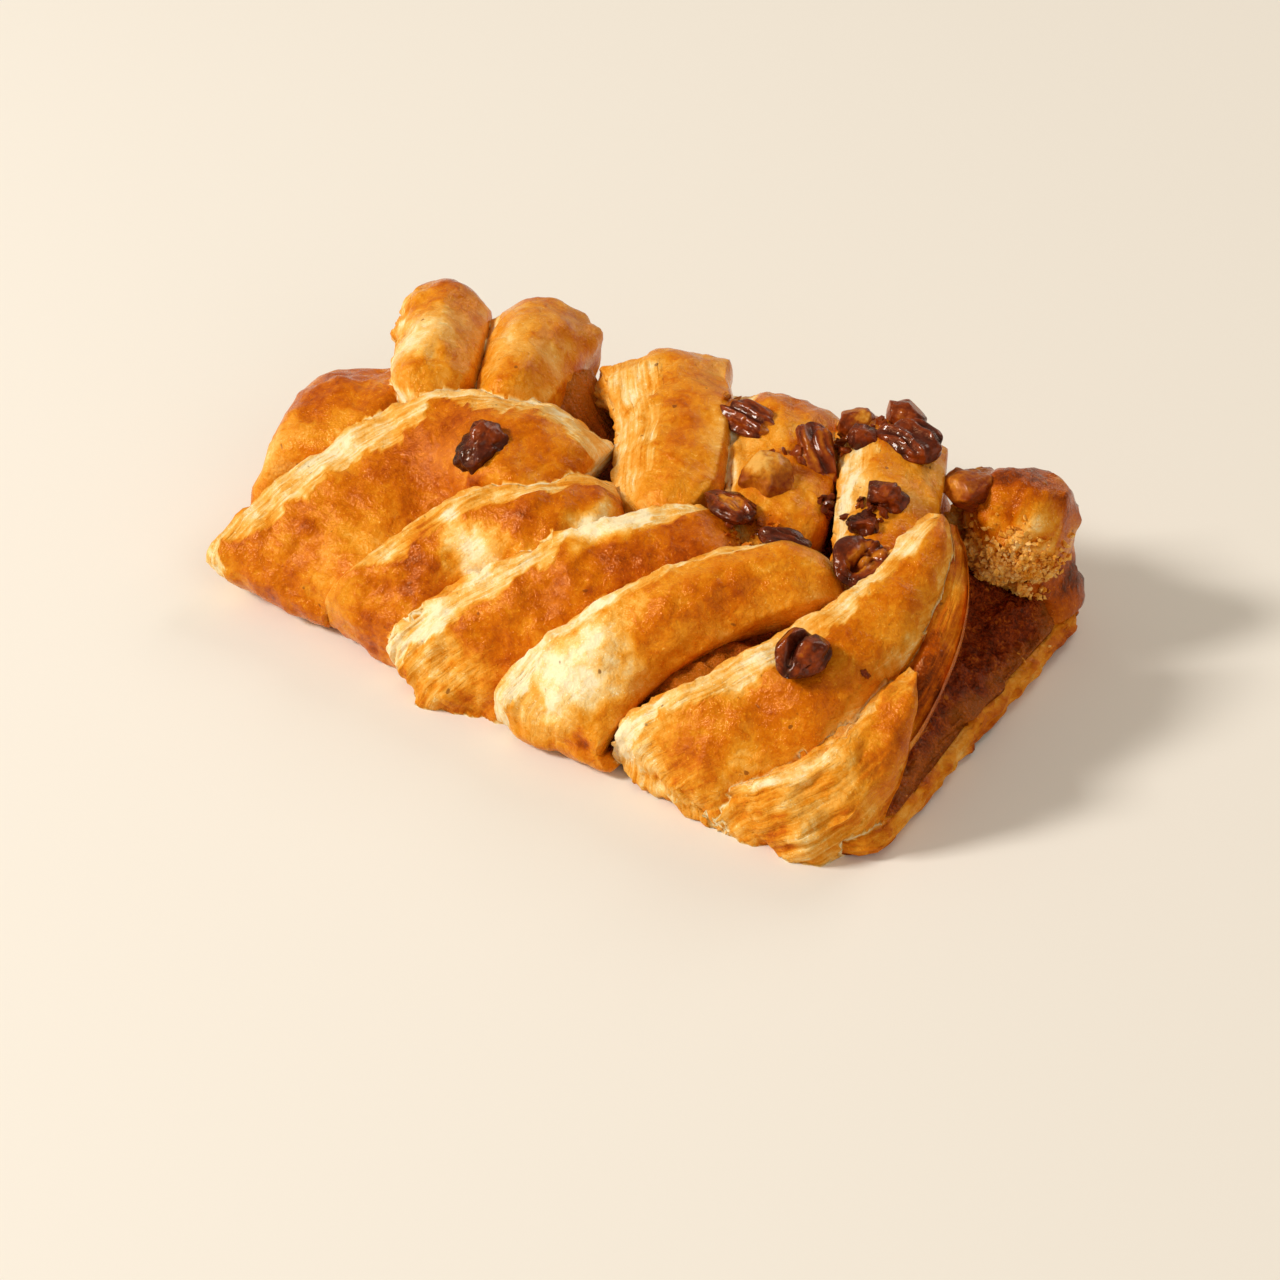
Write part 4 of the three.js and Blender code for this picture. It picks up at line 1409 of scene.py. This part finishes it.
@dataclass
class Crumbs:
    """Small broken bits of pastry and nut that cling to the crust."""

    seed: int = 9
    stretch: tuple[float, float] = (0.3, 1.3)
    perch: float = 0.2
    uneven: float = 0.09
    crease: float = 40.0
    flaky: float = 0.5
    pastry: tuple[CrumbHeap, ...] = (
        CrumbHeap((61.5, 26.0, 18.0), 7.0, 600, (0.3, 1.2), 0.3),
        CrumbHeap((67.0, 25.0, 19.5), 7.5, 1200, (0.3, 1.4), 0.28),
        CrumbHeap((65.0, 26.0, 14.0), 6.5, 900, (0.3, 1.5), 0.3),
        CrumbHeap((70.0, 27.5, 18.0), 6.0, 500, (0.3, 1.2), 0.32),
        CrumbHeap((29.0, -3.0, 31.0), 4.0, 40, (0.5, 1.5), 0.56),
    )
    nut: tuple[CrumbHeap, ...] = (
        CrumbHeap((7.5, 24.5, 34.0), 2.5, 9, (1.0, 2.6), 0.66),
        CrumbHeap((27.5, 18.0, 34.5), 4.0, 16, (0.9, 2.8), 0.55),
        CrumbHeap((30.0, 25.0, 36.0), 4.0, 14, (0.9, 2.8), 0.6),
        CrumbHeap((24.0, 10.0, 34.0), 5.0, 5, (0.7, 1.6), 0.6),
        CrumbHeap((33.0, 28.0, 37.0), 5.0, 12, (0.9, 2.6), 0.56),
        CrumbHeap((42.0, 33.0, 38.0), 5.0, 10, (0.9, 2.4), 0.55),
        CrumbHeap((46.0, 9.0, 35.0), 5.0, 12, (0.8, 2.6), 0.45),
        CrumbHeap((36.1, 10.3, 30.3), 2.4, 9, (0.9, 2.6), 0.4),
        CrumbHeap((63.3, -23.6, 25.8), 0.1, 1, (1.6, 1.7), 0.3),
        CrumbHeap((26.5, -1.5, 31.5), 3.5, 12, (0.8, 2.2), 0.5),
    )

    def scatter(
        self, name: str, heaps: tuple[CrumbHeap, ...], dough: bpy.types.Object, splits: int
    ) -> tuple[bpy.types.Object, np.ndarray]:
        """Models one crumb and sets copies of it on the dough.

        Args:
            name: name of the joined crumbs.
            heaps: where the crumbs lie.
            dough: the joined dough.
            splits: how finely a crumb is divided.

        Returns:
            One mesh of all crumbs, and the shade of each vertex.
        """
        deselect()
        bpy.ops.mesh.primitive_ico_sphere_add(subdivisions=splits, radius=0.5, location=(0, 0, 0))
        start = bpy.context.object
        unit = places_of(start)
        faces = np.array([polygon.vertices[:] for polygon in start.data.polygons])
        bpy.data.meshes.remove(start.data)
        draw = np.random.default_rng(self.seed)
        points, corners, shades = [], [], []
        for heap in heaps:
            for _ in range(heap.count):
                near = np.array(heap.at) + heap.reach * draw.normal(0.0, 0.5, 3)
                hit, place, normal, _ = dough.closest_point_on_mesh(Vector((near + FRAME_SHIFT) * MM))
                if not hit:
                    continue
                size = draw.uniform(*heap.size_mm)
                turned = np.array(Euler(draw.uniform(0.0, 6.28, 3)).to_matrix())
                rough = 1.0 + min(0.45, 0.9 / size) * grain(unit * 3.0 + near, 1.0, self.seed)
                shape = unit * rough[:, None] * draw.uniform(*self.stretch, 3) @ turned.T
                corners.append(faces + len(points) * len(unit))
                points.append(np.array(place) / MM + np.array(normal) * self.perch * size + size * shape)
                shades.append(np.full(len(unit), heap.shade + draw.uniform(-self.uneven, self.uneven)))
        mesh = bpy.data.meshes.new(name)
        mesh.from_pydata(np.vstack(points) * MM, [], np.vstack(corners))
        piece = bpy.data.objects.new(name, mesh)
        bpy.context.scene.collection.objects.link(piece)
        smooth(piece, self.crease)
        return piece, np.concatenate(shades)

    def build(self, dough: bpy.types.Object, kernel: bpy.types.Object) -> list[bpy.types.Object]:
        """Scatters and dresses the crumbs.

        Args:
            dough: the joined dough.
            kernel: a nut whose finish the nut crumbs share.

        Returns:
            The pastry crumbs and the nut crumbs.
        """
        pastry, shade = self.scatter("pastry_crumbs", self.pastry, dough, 1)
        set_crust(pastry, shade, self.flaky + 0.0 * shade, 9.0 * shade, 7.0 * shade)
        pastry.data.materials.append(dough.data.materials[0])
        declare(pastry, Slot.PASTRY)
        nut, shade = self.scatter("nut_crumbs", self.nut, dough, 2)
        set_attribute(nut, "tone", shade)
        nut.data.materials.append(kernel.data.materials[0])
        declare(nut, Slot.PECAN)
        return [pastry, nut]


@dataclass
class CaramelFilling:
    """The dome of caramel under the strips, thinning to a rough layer at the open right end.

    bulges give the place along the plait, the side, the swell outward and upward and the reach. mounds give
    a place, rise and reach, thin_and_lit_spots a place and reach where the caramel is drawn amber, partly as
    thin caramel and partly as painted light in gaps that lie in shade, and lumps the height, size and seed of
    the rough surface.
    """

    finish: BakedCaramel = BakedCaramel()
    left: float = -60.0
    right: float = 73.4
    half_width: float = 33.0
    height: float = 15.3
    layer: float = 3.0
    thin_start: float = 66.0
    thin: float = 0.6
    step_start: float = 55.0
    step_end: float = 65.0
    spread: float = 4.0
    end: float = 9.0
    floor: float = 4.7
    around: int = 260
    rings: int = 170
    open_from: float = 48.0
    open_share: float = 0.62
    bulges: tuple[tuple[float, float, float, float, float], ...] = (
        (36.0, -1.0, 4.0, 2.0, 12.0),
        (-30.0, 1.0, 5.0, 12.0, 10.0),
    )
    mounds: tuple[tuple[float, float, float, float], ...] = (
        (69.0, 36.0, 3.2, 5.0),
        (66.5, 27.0, 1.6, 4.0),
        (68.5, 4.0, 1.2, 5.0),
        (67.0, -12.0, 1.4, 6.0),
    )
    # Places where the caramel is drawn amber: partly thin caramel, partly painted light in gaps that lie in
    # shade.
    thin_and_lit_spots: tuple[tuple[float, float, float], ...] = ((36.0, -36.0, 12.0), (-29.0, 27.0, 11.0))
    lumps: tuple[tuple[float, float, int], ...] = (
        (0.6, 6.0, 91),
        (0.6, 2.8, 92),
        (0.5, 1.3, 93),
        (0.3, 0.8, 95),
    )
    amber_from: float = 70.2
    amber: float = 0.42
    clearest: float = 0.9
    crease: float = 70.0

    def build(self) -> bpy.types.Object:
        """Models and dresses the filling, which is low and amber where it is thin, and painted amber in two
        shaded gaps.

        Returns:
            The filling's closed mesh.
        """
        tube = Tube("caramel_filling", self.around, self.rings)
        shares = (0.0, 1.0 - self.open_share, 1.0)
        x = np.interp(tube.ring / self.rings, shares, (self.left, self.open_from, self.right))
        arc = self.around * 3 // 4
        angle = math.pi * np.minimum(tube.turn / arc, 1.0)
        back = np.clip((tube.turn - arc) / (self.around - arc), 0.0, 1.0)
        c, s = np.cos(angle), np.clip(np.sin(angle), 0.0, 1.0)
        from_left = np.sqrt(smoothstep(self.left - 1.0, self.left + self.end, x))
        fall = smoothstep(self.step_start, self.step_end, x)
        thin = 1.0 - self.thin * smoothstep(self.thin_start, self.right, x)
        edge = np.sqrt(np.clip((self.right - x) / 3.0, 0.0, 1.0))
        body = (self.height * (0.35 + 0.65 * from_left) * (1.0 - fall) + self.layer * fall) * thin
        half = self.half_width * (0.8 + 0.2 * from_left) + self.spread * fall
        bulge, swollen = np.zeros(len(x)), np.zeros(len(x))
        for at, side, out, up, reach in self.bulges:
            close = np.where(np.sign(c) == side, np.exp(-(((x - at) / reach) ** 2) * 2.0), 0.0)
            bulge += out * close
            swollen += up * close * 2.0 * np.abs(c) * s
        y = (half + bulge * np.sqrt(s)) * np.sign(c) * np.abs(c) ** 0.7
        y = np.where(back > 0.0, half * (2.0 * back - 1.0), y)
        points = np.column_stack((x, y, np.full(len(x), self.floor)))
        lumps = np.zeros(len(x))
        for height, cell, seed in self.lumps:
            lumps += height * grain(points, cell, seed)
        for at_x, at_y, rise, reach in self.mounds:
            lumps += rise * np.exp(-((x - at_x) ** 2 + (y - at_y) ** 2) / reach**2)
        top = body * s**0.6 + swollen + lumps * np.minimum(1.0, 4.0 * s) + 0.6 * fall
        points[:, 2] += np.where(back > 0.0, 0.0, np.clip(top * (0.25 + 0.75 * edge), 0.0, None))
        points[:, 0] += 0.9 * (1.0 - edge) * grain(points * (0.0, 1.0, 0.0), 5.0, 94)
        tube.close_hubs(points)
        settle(tube.piece, points)
        clear = self.amber * smoothstep(self.amber_from, self.right, x + 1.2 * grain(points, 3.0, 96))
        # Lighter in two gaps between strips: partly thin caramel, partly painted light where the gaps lie in
        # shade.
        for at_x, at_y, reach in self.thin_and_lit_spots:
            clear += np.exp(-((x - at_x) ** 2 + (y - at_y) ** 2) / reach**2)
        set_attribute(tube.piece, "thin", self.clearest * np.clip(clear, 0.0, 1.0))
        smooth(tube.piece, self.crease)
        tube.piece.data.materials.append(self.finish.material())
        declare(tube.piece, Slot.FILLING, "filling")
        return tube.piece


@dataclass(frozen=True)
class Pecan:
    """Where one piece of nut lies, how large it is and how dark.

    turn is in degrees about z, y and x. tone runs from dark skin to tan meat. cleft, ridge, hollow, snapped
    and wrinkle shape a half kernel, rough and swell a broken piece, and rim darkens a broken piece's sides
    and underside, partly as its dark skin and partly as painted shade. As many planes as facets says chop a
    nut, each at a share of its reach that lies in the range of cut.
    """

    node: str
    at: tuple[float, float, float]
    size: tuple[float, float, float]
    turn: tuple[float, float, float]
    tone: float
    seed: int
    cleft: float = 0.32
    ridge: float = 0.06
    hollow: float = 0.0
    snapped: float = 1.0
    wrinkle: float = 0.035
    rough: float = 1.0
    facets: int = 0
    cut: tuple[float, float] = (0.74, 0.9)
    meat: float = 0.06
    swell: float = 0.3
    # Darkening of a broken piece's sides and underside: partly its dark skin, partly painted shade.
    rim: float = 0.1

    def chop(self, points: np.ndarray) -> tuple[np.ndarray, np.ndarray]:
        """Flattens the nut where it broke.

        Args:
            points: places on the nut, one row each.

        Returns:
            The places, with each of a few seeded planes as a limit, and how far each is broken open.
        """
        draw = np.random.default_rng(self.seed)
        middle = points.mean(axis=0)
        broken = np.zeros(len(points))
        for _ in range(self.facets):
            way = draw.normal(size=3)
            way *= (1.0, 1.0, np.sign(way[2])) / np.linalg.norm(way)
            reach = (points - middle) @ way
            over = np.clip(reach - draw.uniform(*self.cut) * reach.max(), 0.0, None)
            points = points - np.outer(0.9 * over, way)
            broken = np.maximum(broken, smoothstep(0.05, 0.45, over))
        return points, broken

    def carry(self, unit: np.ndarray) -> np.ndarray:
        """Scales, turns and places a nut that was shaped about the origin.

        Args:
            unit: places on a nut of radius 1, one row each.

        Returns:
            Places in millimetres.
        """
        turn_z, turn_y, turn_x = (math.radians(angle) for angle in self.turn)
        turned = Euler((turn_x, turn_y, turn_z), "XYZ").to_matrix()
        return (unit * np.array(self.size) / 2.0) @ np.array(turned).T + np.array(self.at)


@dataclass
class PecanTopping:
    """Half kernels and broken pieces lying on the strips."""

    finish: RoastedPecan = RoastedPecan()
    half_crease: float = 55.0
    chunk_crease: float = 32.0
    segments: int = 88
    rings: int = 52
    groove: float = 0.17
    lobe_waves: float = 15.0
    belly: float = 0.75
    meat_tone: float = 0.72
    halves: tuple[Pecan, ...] = (
        Pecan(
            "pecan_half_1", (12.3, 22.1, 35.0), (13.5, 8.0, 6.0), (-10, 0, 8), 0.42, 1,
            ridge=0.1, snapped=0.85,
        ),
        Pecan(
            "pecan_half_2", (28.9, 20.6, 34.5), (14.0, 8.0, 6.0), (-40, 30, 15), 0.5, 2,
            ridge=0.1, snapped=0.85, facets=3,
        ),
        Pecan("pecan_half_3", (22.1, 0.1, 31.5), (11.0, 8.0, 5.0), (-19, 0, -10), 0.34, 3, hollow=0.5),
        Pecan(
            "pecan_half_4", (44.4, 27.5, 38.3), (12.5, 10.0, 6.0), (-23, 4, 5), 0.3, 4,
            cleft=0.2, ridge=0.18, wrinkle=0.0,
        ),
        Pecan("pecan_half_5", (51.5, -3.6, 32.8), (13.0, 9.0, 6.0), (86, -8, 20), 0.26, 5, hollow=0.6),
        Pecan(
            "pecan_half_6", (53.3, -27.8, 29.8), (12.0, 10.0, 7.0), (92, -18, 6), 0.32, 6,
            cleft=0.55, ridge=0.06, snapped=0.8, wrinkle=0.06, facets=7, cut=(0.66, 0.84), meat=0.1,
        ),
        Pecan("pecan_half_7", (37.0, -6.4, 33.6), (9.5, 6.0, 4.5), (6, 0, -20), 0.3, 7),
    )
    chunks: tuple[Pecan, ...] = (
        Pecan(
            "pecan_chunk_1", (-26.3, -9.2, 32.7), (9.5, 8.5, 7.0), (-32, 0, 20), 0.3, 11,
            rough=1.4, swell=0.8,
        ),
        Pecan(
            "pecan_chunk_2", (24.5, 10.0, 34.0), (9.5, 8.0, 6.0), (-10, 0, 15), 0.84, 12,
            rough=0.6, facets=6, cut=(0.76, 0.9), meat=0.0, swell=1.1, rim=0.2,
        ),
        Pecan("pecan_chunk_3", (35.4, 25.3, 37.6), (7.0, 5.5, 5.0), (10, 0, 0), 0.36, 13, facets=4),
        Pecan(
            "pecan_chunk_4", (31.2, 29.9, 36.6), (7.0, 6.0, 5.5), (65, 0, 0), 0.64, 14,
            rough=0.5, facets=6, meat=0.2,
        ),
        Pecan(
            "pecan_chunk_5", (38.5, 35.5, 37.6), (8.0, 6.5, 5.5), (0, 10, 0), 0.56, 15,
            rough=0.6, facets=6, meat=0.2,
        ),
        Pecan(
            "pecan_chunk_6", (48.2, 11.5, 36.4), (8.5, 7.0, 6.0), (-22, 0, 12), 0.32, 16,
            rough=1.3, facets=3,
        ),
        Pecan(
            "pecan_chunk_7", (47.2, 5.3, 34.2), (7.0, 5.5, 5.0), (5, 0, 15), 0.32, 17,
            rough=1.3, facets=3,
        ),
        Pecan(
            "pecan_chunk_8", (56.3, 28.2, 32.2), (8.5, 7.5, 6.5), (-25, 0, 0), 0.62, 18,
            rough=0.8, facets=6, swell=0.7,
        ),
        Pecan("pecan_chunk_9", (66.0, 34.5, 32.6), (10.0, 4.5, 4.0), (-14, 8, 0), 0.5, 19, facets=5),
    )

    def half_kernel(self, pecan: Pecan) -> bpy.types.Object:
        """Models a half kernel: a long dome, deeply grooved down its back, furrowed and wrinkled.

        Args:
            pecan: the nut.

        Returns:
            Its mesh.
        """
        deselect()
        bpy.ops.mesh.primitive_uv_sphere_add(segments=self.segments, ring_count=self.rings)
        piece = bpy.context.object
        piece.name = piece.data.name = pecan.node + "_kernel"
        places = places_of(piece)
        unit = np.column_stack((-places[:, 2], places[:, 1], places[:, 0]))
        x, y, z = unit.T.copy()
        wander = y + 0.1 * np.sin(2.6 * x + pecan.seed) + 0.06 * grain(unit * 2.0, 1.0, pecan.seed)
        cleft = np.exp(-((wander / self.groove) ** 2))
        lobes = np.cos(np.abs(wander) * self.lobe_waves - 5.2)
        lobes *= smoothstep(0.12, 0.3, np.abs(wander)) * (1.0 - x**4)
        waves = 0.5 * np.sin(7.0 * x + 2.0 * np.sign(wander) + pecan.seed)
        lobes += waves * smoothstep(0.2, 0.5, np.abs(wander))
        middle = np.exp(-(((x / 0.72) ** 2 + (y / 0.6) ** 2) ** 1.5))
        upper = smoothstep(-0.05, 0.2, z)
        inside = min(1.0, 2.0 * pecan.hollow) * middle * upper
        crack = inside * (1.0 - smoothstep(0.0, 0.3, np.abs(grain(unit * 1.5, 0.6, pecan.seed + 11))))
        sunk = pecan.hollow * middle * (1.0 + 0.9 * grain(unit * 2.6, 1.0, pecan.seed + 3)) + 0.25 * crack
        crease = 1.0 - smoothstep(0.0, 0.3, np.abs(grain(unit * (1.0, 2.2, 2.2), 0.55, pecan.seed + 7)))
        end = pecan.snapped + 0.14 * grain(unit * (0.0, 1.0, 1.0), 0.5, pecan.seed + 8)
        broken = smoothstep(0.0, 0.06, x - end) * (pecan.snapped < 1.0)
        unit[:, 0] = np.where(broken > 0.0, end + 0.1 * (x - end), x)
        back = 1.0 - pecan.cleft * cleft + pecan.ridge * lobes - sunk
        unit[:, 2] = z * np.where(z > 0.0, back, self.belly)
        knobs = 0.18 * grain(unit, 0.9, pecan.seed + 5) + 0.07 * grain(unit, 0.4, pecan.seed + 6)
        knobs += 0.012 * grain(unit, 0.16, pecan.seed + 10) - pecan.wrinkle * crease
        unit *= (1.0 + (0.35 + 0.65 * upper) * knobs)[:, None]
        tone = pecan.tone - 0.22 * cleft * (pecan.cleft > 0.2)
        tone += 0.8 * pecan.ridge * lobes - 2.0 * pecan.wrinkle * crease
        tone += 0.1 * grain(unit, 0.5, pecan.seed + 9) + 0.64 * inside - 0.4 * crack
        tone += broken * (self.meat_tone - tone)
        points, fresh = pecan.chop(pecan.carry(unit))
        settle(piece, points)
        set_attribute(piece, "tone", np.clip(tone + pecan.meat * fresh, 0.0, 1.0))
        return piece

    def broken_chunk(self, pecan: Pecan) -> bpy.types.Object:
        """Models a broken piece from its own solid, with finer corners and a torn grain.

        Args:
            pecan: the nut.

        Returns:
            Its mesh.
        """
        pick(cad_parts[pecan.node])
        bpy.ops.object.duplicate()
        piece = bpy.context.object
        piece.name = piece.data.name = pecan.node + "_piece"
        for key in list(piece.keys()):
            del piece[key]
        piece.parent = None
        piece.data.materials.clear()
        bpy.ops.object.mode_set(mode="EDIT")
        bpy.ops.mesh.select_all(action="SELECT")
        bpy.ops.mesh.remove_doubles(threshold=0.02 * MM)
        bpy.ops.mesh.subdivide(number_cuts=3, smoothness=0.15)
        bpy.ops.mesh.subdivide(number_cuts=1)
        bpy.ops.mesh.vertices_smooth(factor=0.5, repeat=2)
        bpy.ops.object.mode_set(mode="OBJECT")
        points = places_of(piece) / MM - FRAME_SHIFT
        middle = np.array(pecan.at)
        away = points - middle
        away /= np.linalg.norm(away, axis=1, keepdims=True)
        crease = 1.0 - smoothstep(0.0, 0.3, np.abs(grain(points, 2.4, pecan.seed + 3)))
        rough = 0.4 * grain(points, 3.0, pecan.seed) + 0.22 * grain(points, 1.2, pecan.seed + 1)
        rough += 0.3 * terraces(points, 2.6, pecan.seed + 4) - 0.2 * crease
        tone = pecan.tone + 0.14 * grain(points, 3.0, pecan.seed + 2) - 0.1 * crease
        # Darker towards the sides and underside: partly the dark skin, partly painted shade.
        tone -= pecan.rim * (1.0 - smoothstep(0.1, 0.6, away[:, 2]))
        points, fresh = pecan.chop(points + away * (pecan.rough * rough + pecan.swell)[:, None])
        settle(piece, points)
        set_attribute(piece, "tone", np.clip(tone + pecan.meat * fresh, 0.0, 1.0))
        return piece

    def build(self) -> list[bpy.types.Object]:
        """Models and dresses all the nuts.

        Returns:
            One mesh for each nut.
        """
        material = self.finish.material()
        pieces = []
        halves = (self.halves, self.half_kernel, self.half_crease)
        chunks = (self.chunks, self.broken_chunk, self.chunk_crease)
        for group, shape, degrees in (halves, chunks):
            for pecan in group:
                piece = shape(pecan)
                smooth(piece, degrees)
                piece.data.materials.append(material)
                declare(piece, Slot.PECAN, pecan.node)
                pieces.append(piece)
        return pieces


@dataclass
class Studio:
    """Pale paper floor, soft light from the upper left and the camera."""

    paper: StudioPaper = StudioPaper()
    floor_size: float = 6.0
    lamp_colour: str = "#fff9f0"
    room_colour: str = "#f6e8d2"
    room_strength: float = 0.38
    lamps: tuple[tuple[str, tuple[float, float, float], float, float], ...] = (
        ("key", (-0.95, -0.8, 0.95), 0.32, 21.0),
        ("fill", (1.1, -0.7, 0.8), 1.0, 4.0),
        ("rim", (0.1, 1.2, 0.9), 0.6, 4.5),
    )
    target_mm: tuple[float, float, float] = (6.631, -6.888, 0.0)
    azimuth_deg: float = 32.5
    elevation_deg: float = 37.0
    distance_mm: float = 565.0
    focal_px: float = 3000.0
    sensor_mm: float = 36.0

    def add_floor(self) -> bpy.types.Object:
        """Lays the paper.

        Returns:
            The floor.
        """
        deselect()
        bpy.ops.mesh.primitive_plane_add(size=self.floor_size, location=(0, 0, 0))
        floor = bpy.context.object
        floor.name = "floor"
        floor.data.materials.append(self.paper.material())
        return floor

    def add_light(self, name: str, place: tuple[float, float, float], size: float, power: float) -> None:
        """Hangs one square soft light that faces the plait.

        Args:
            name: the light's name.
            place: where it hangs, in metres.
            size: side of the square, in metres.
            power: light power in watts.
        """
        data = bpy.data.lights.new(name, "AREA")
        data.size = size
        data.energy = power
        data.color = linear_colour(self.lamp_colour)[:3]
        lamp = bpy.data.objects.new(name, data)
        lamp.location = place
        lamp.rotation_euler = (Vector((0.0, 0.0, 0.02)) - Vector(place)).to_track_quat("-Z", "Y").to_euler()
        bpy.context.scene.collection.objects.link(lamp)

    def add_sky(self) -> None:
        """Lights the room with an even pale glow."""
        world = bpy.data.worlds.new("studio_room")
        world.use_nodes = True
        back = world.node_tree.nodes["Background"]
        back.inputs["Color"].default_value = linear_colour(self.room_colour)
        back.inputs["Strength"].default_value = self.room_strength
        bpy.context.scene.world = world

    def add_camera(self) -> None:
        """Sets the camera at the picture's angle."""
        azimuth, elevation = math.radians(self.azimuth_deg), math.radians(self.elevation_deg)
        flat = math.cos(elevation)
        back = Vector((math.sin(azimuth) * flat, -math.cos(azimuth) * flat, math.sin(elevation)))
        data = bpy.data.cameras.new("camera")
        data.sensor_fit = "HORIZONTAL"
        data.sensor_width = self.sensor_mm
        data.lens = self.focal_px * self.sensor_mm / IMAGE_WIDTH_PX
        data.clip_start, data.clip_end = 0.01, 50.0
        camera = bpy.data.objects.new("camera", data)
        camera.location = (Vector(self.target_mm) + back * self.distance_mm) * MM
        camera.rotation_euler = (-back).to_track_quat("-Z", "Y").to_euler()
        bpy.context.scene.collection.objects.link(camera)
        bpy.context.scene.camera = camera

    def build(self) -> None:
        """Sets up floor, lights and camera."""
        self.add_floor()
        for name, place, size, power in self.lamps:
            self.add_light(name, place, size, power)
        self.add_sky()
        self.add_camera()
        bpy.context.scene.view_settings.view_transform = "Standard"


def main() -> None:
    """Builds the plait piece by piece and sets up the studio."""
    logging.basicConfig(level=logging.INFO, format="%(name)s: %(message)s")
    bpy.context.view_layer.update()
    dough = Dough().build()
    LOG.info("dough: %d faces", len(dough.data.polygons))
    filling = CaramelFilling().build()
    LOG.info("filling: %d faces", len(filling.data.polygons))
    nuts = PecanTopping().build()
    for piece in nuts + Crumbs().build(dough, nuts[0]):
        LOG.info("%s: %d faces", piece.name, len(piece.data.polygons))
    Studio().build()
    LOG.info("studio: floor, three lights and camera")


if __name__ == "__main__":
    main()
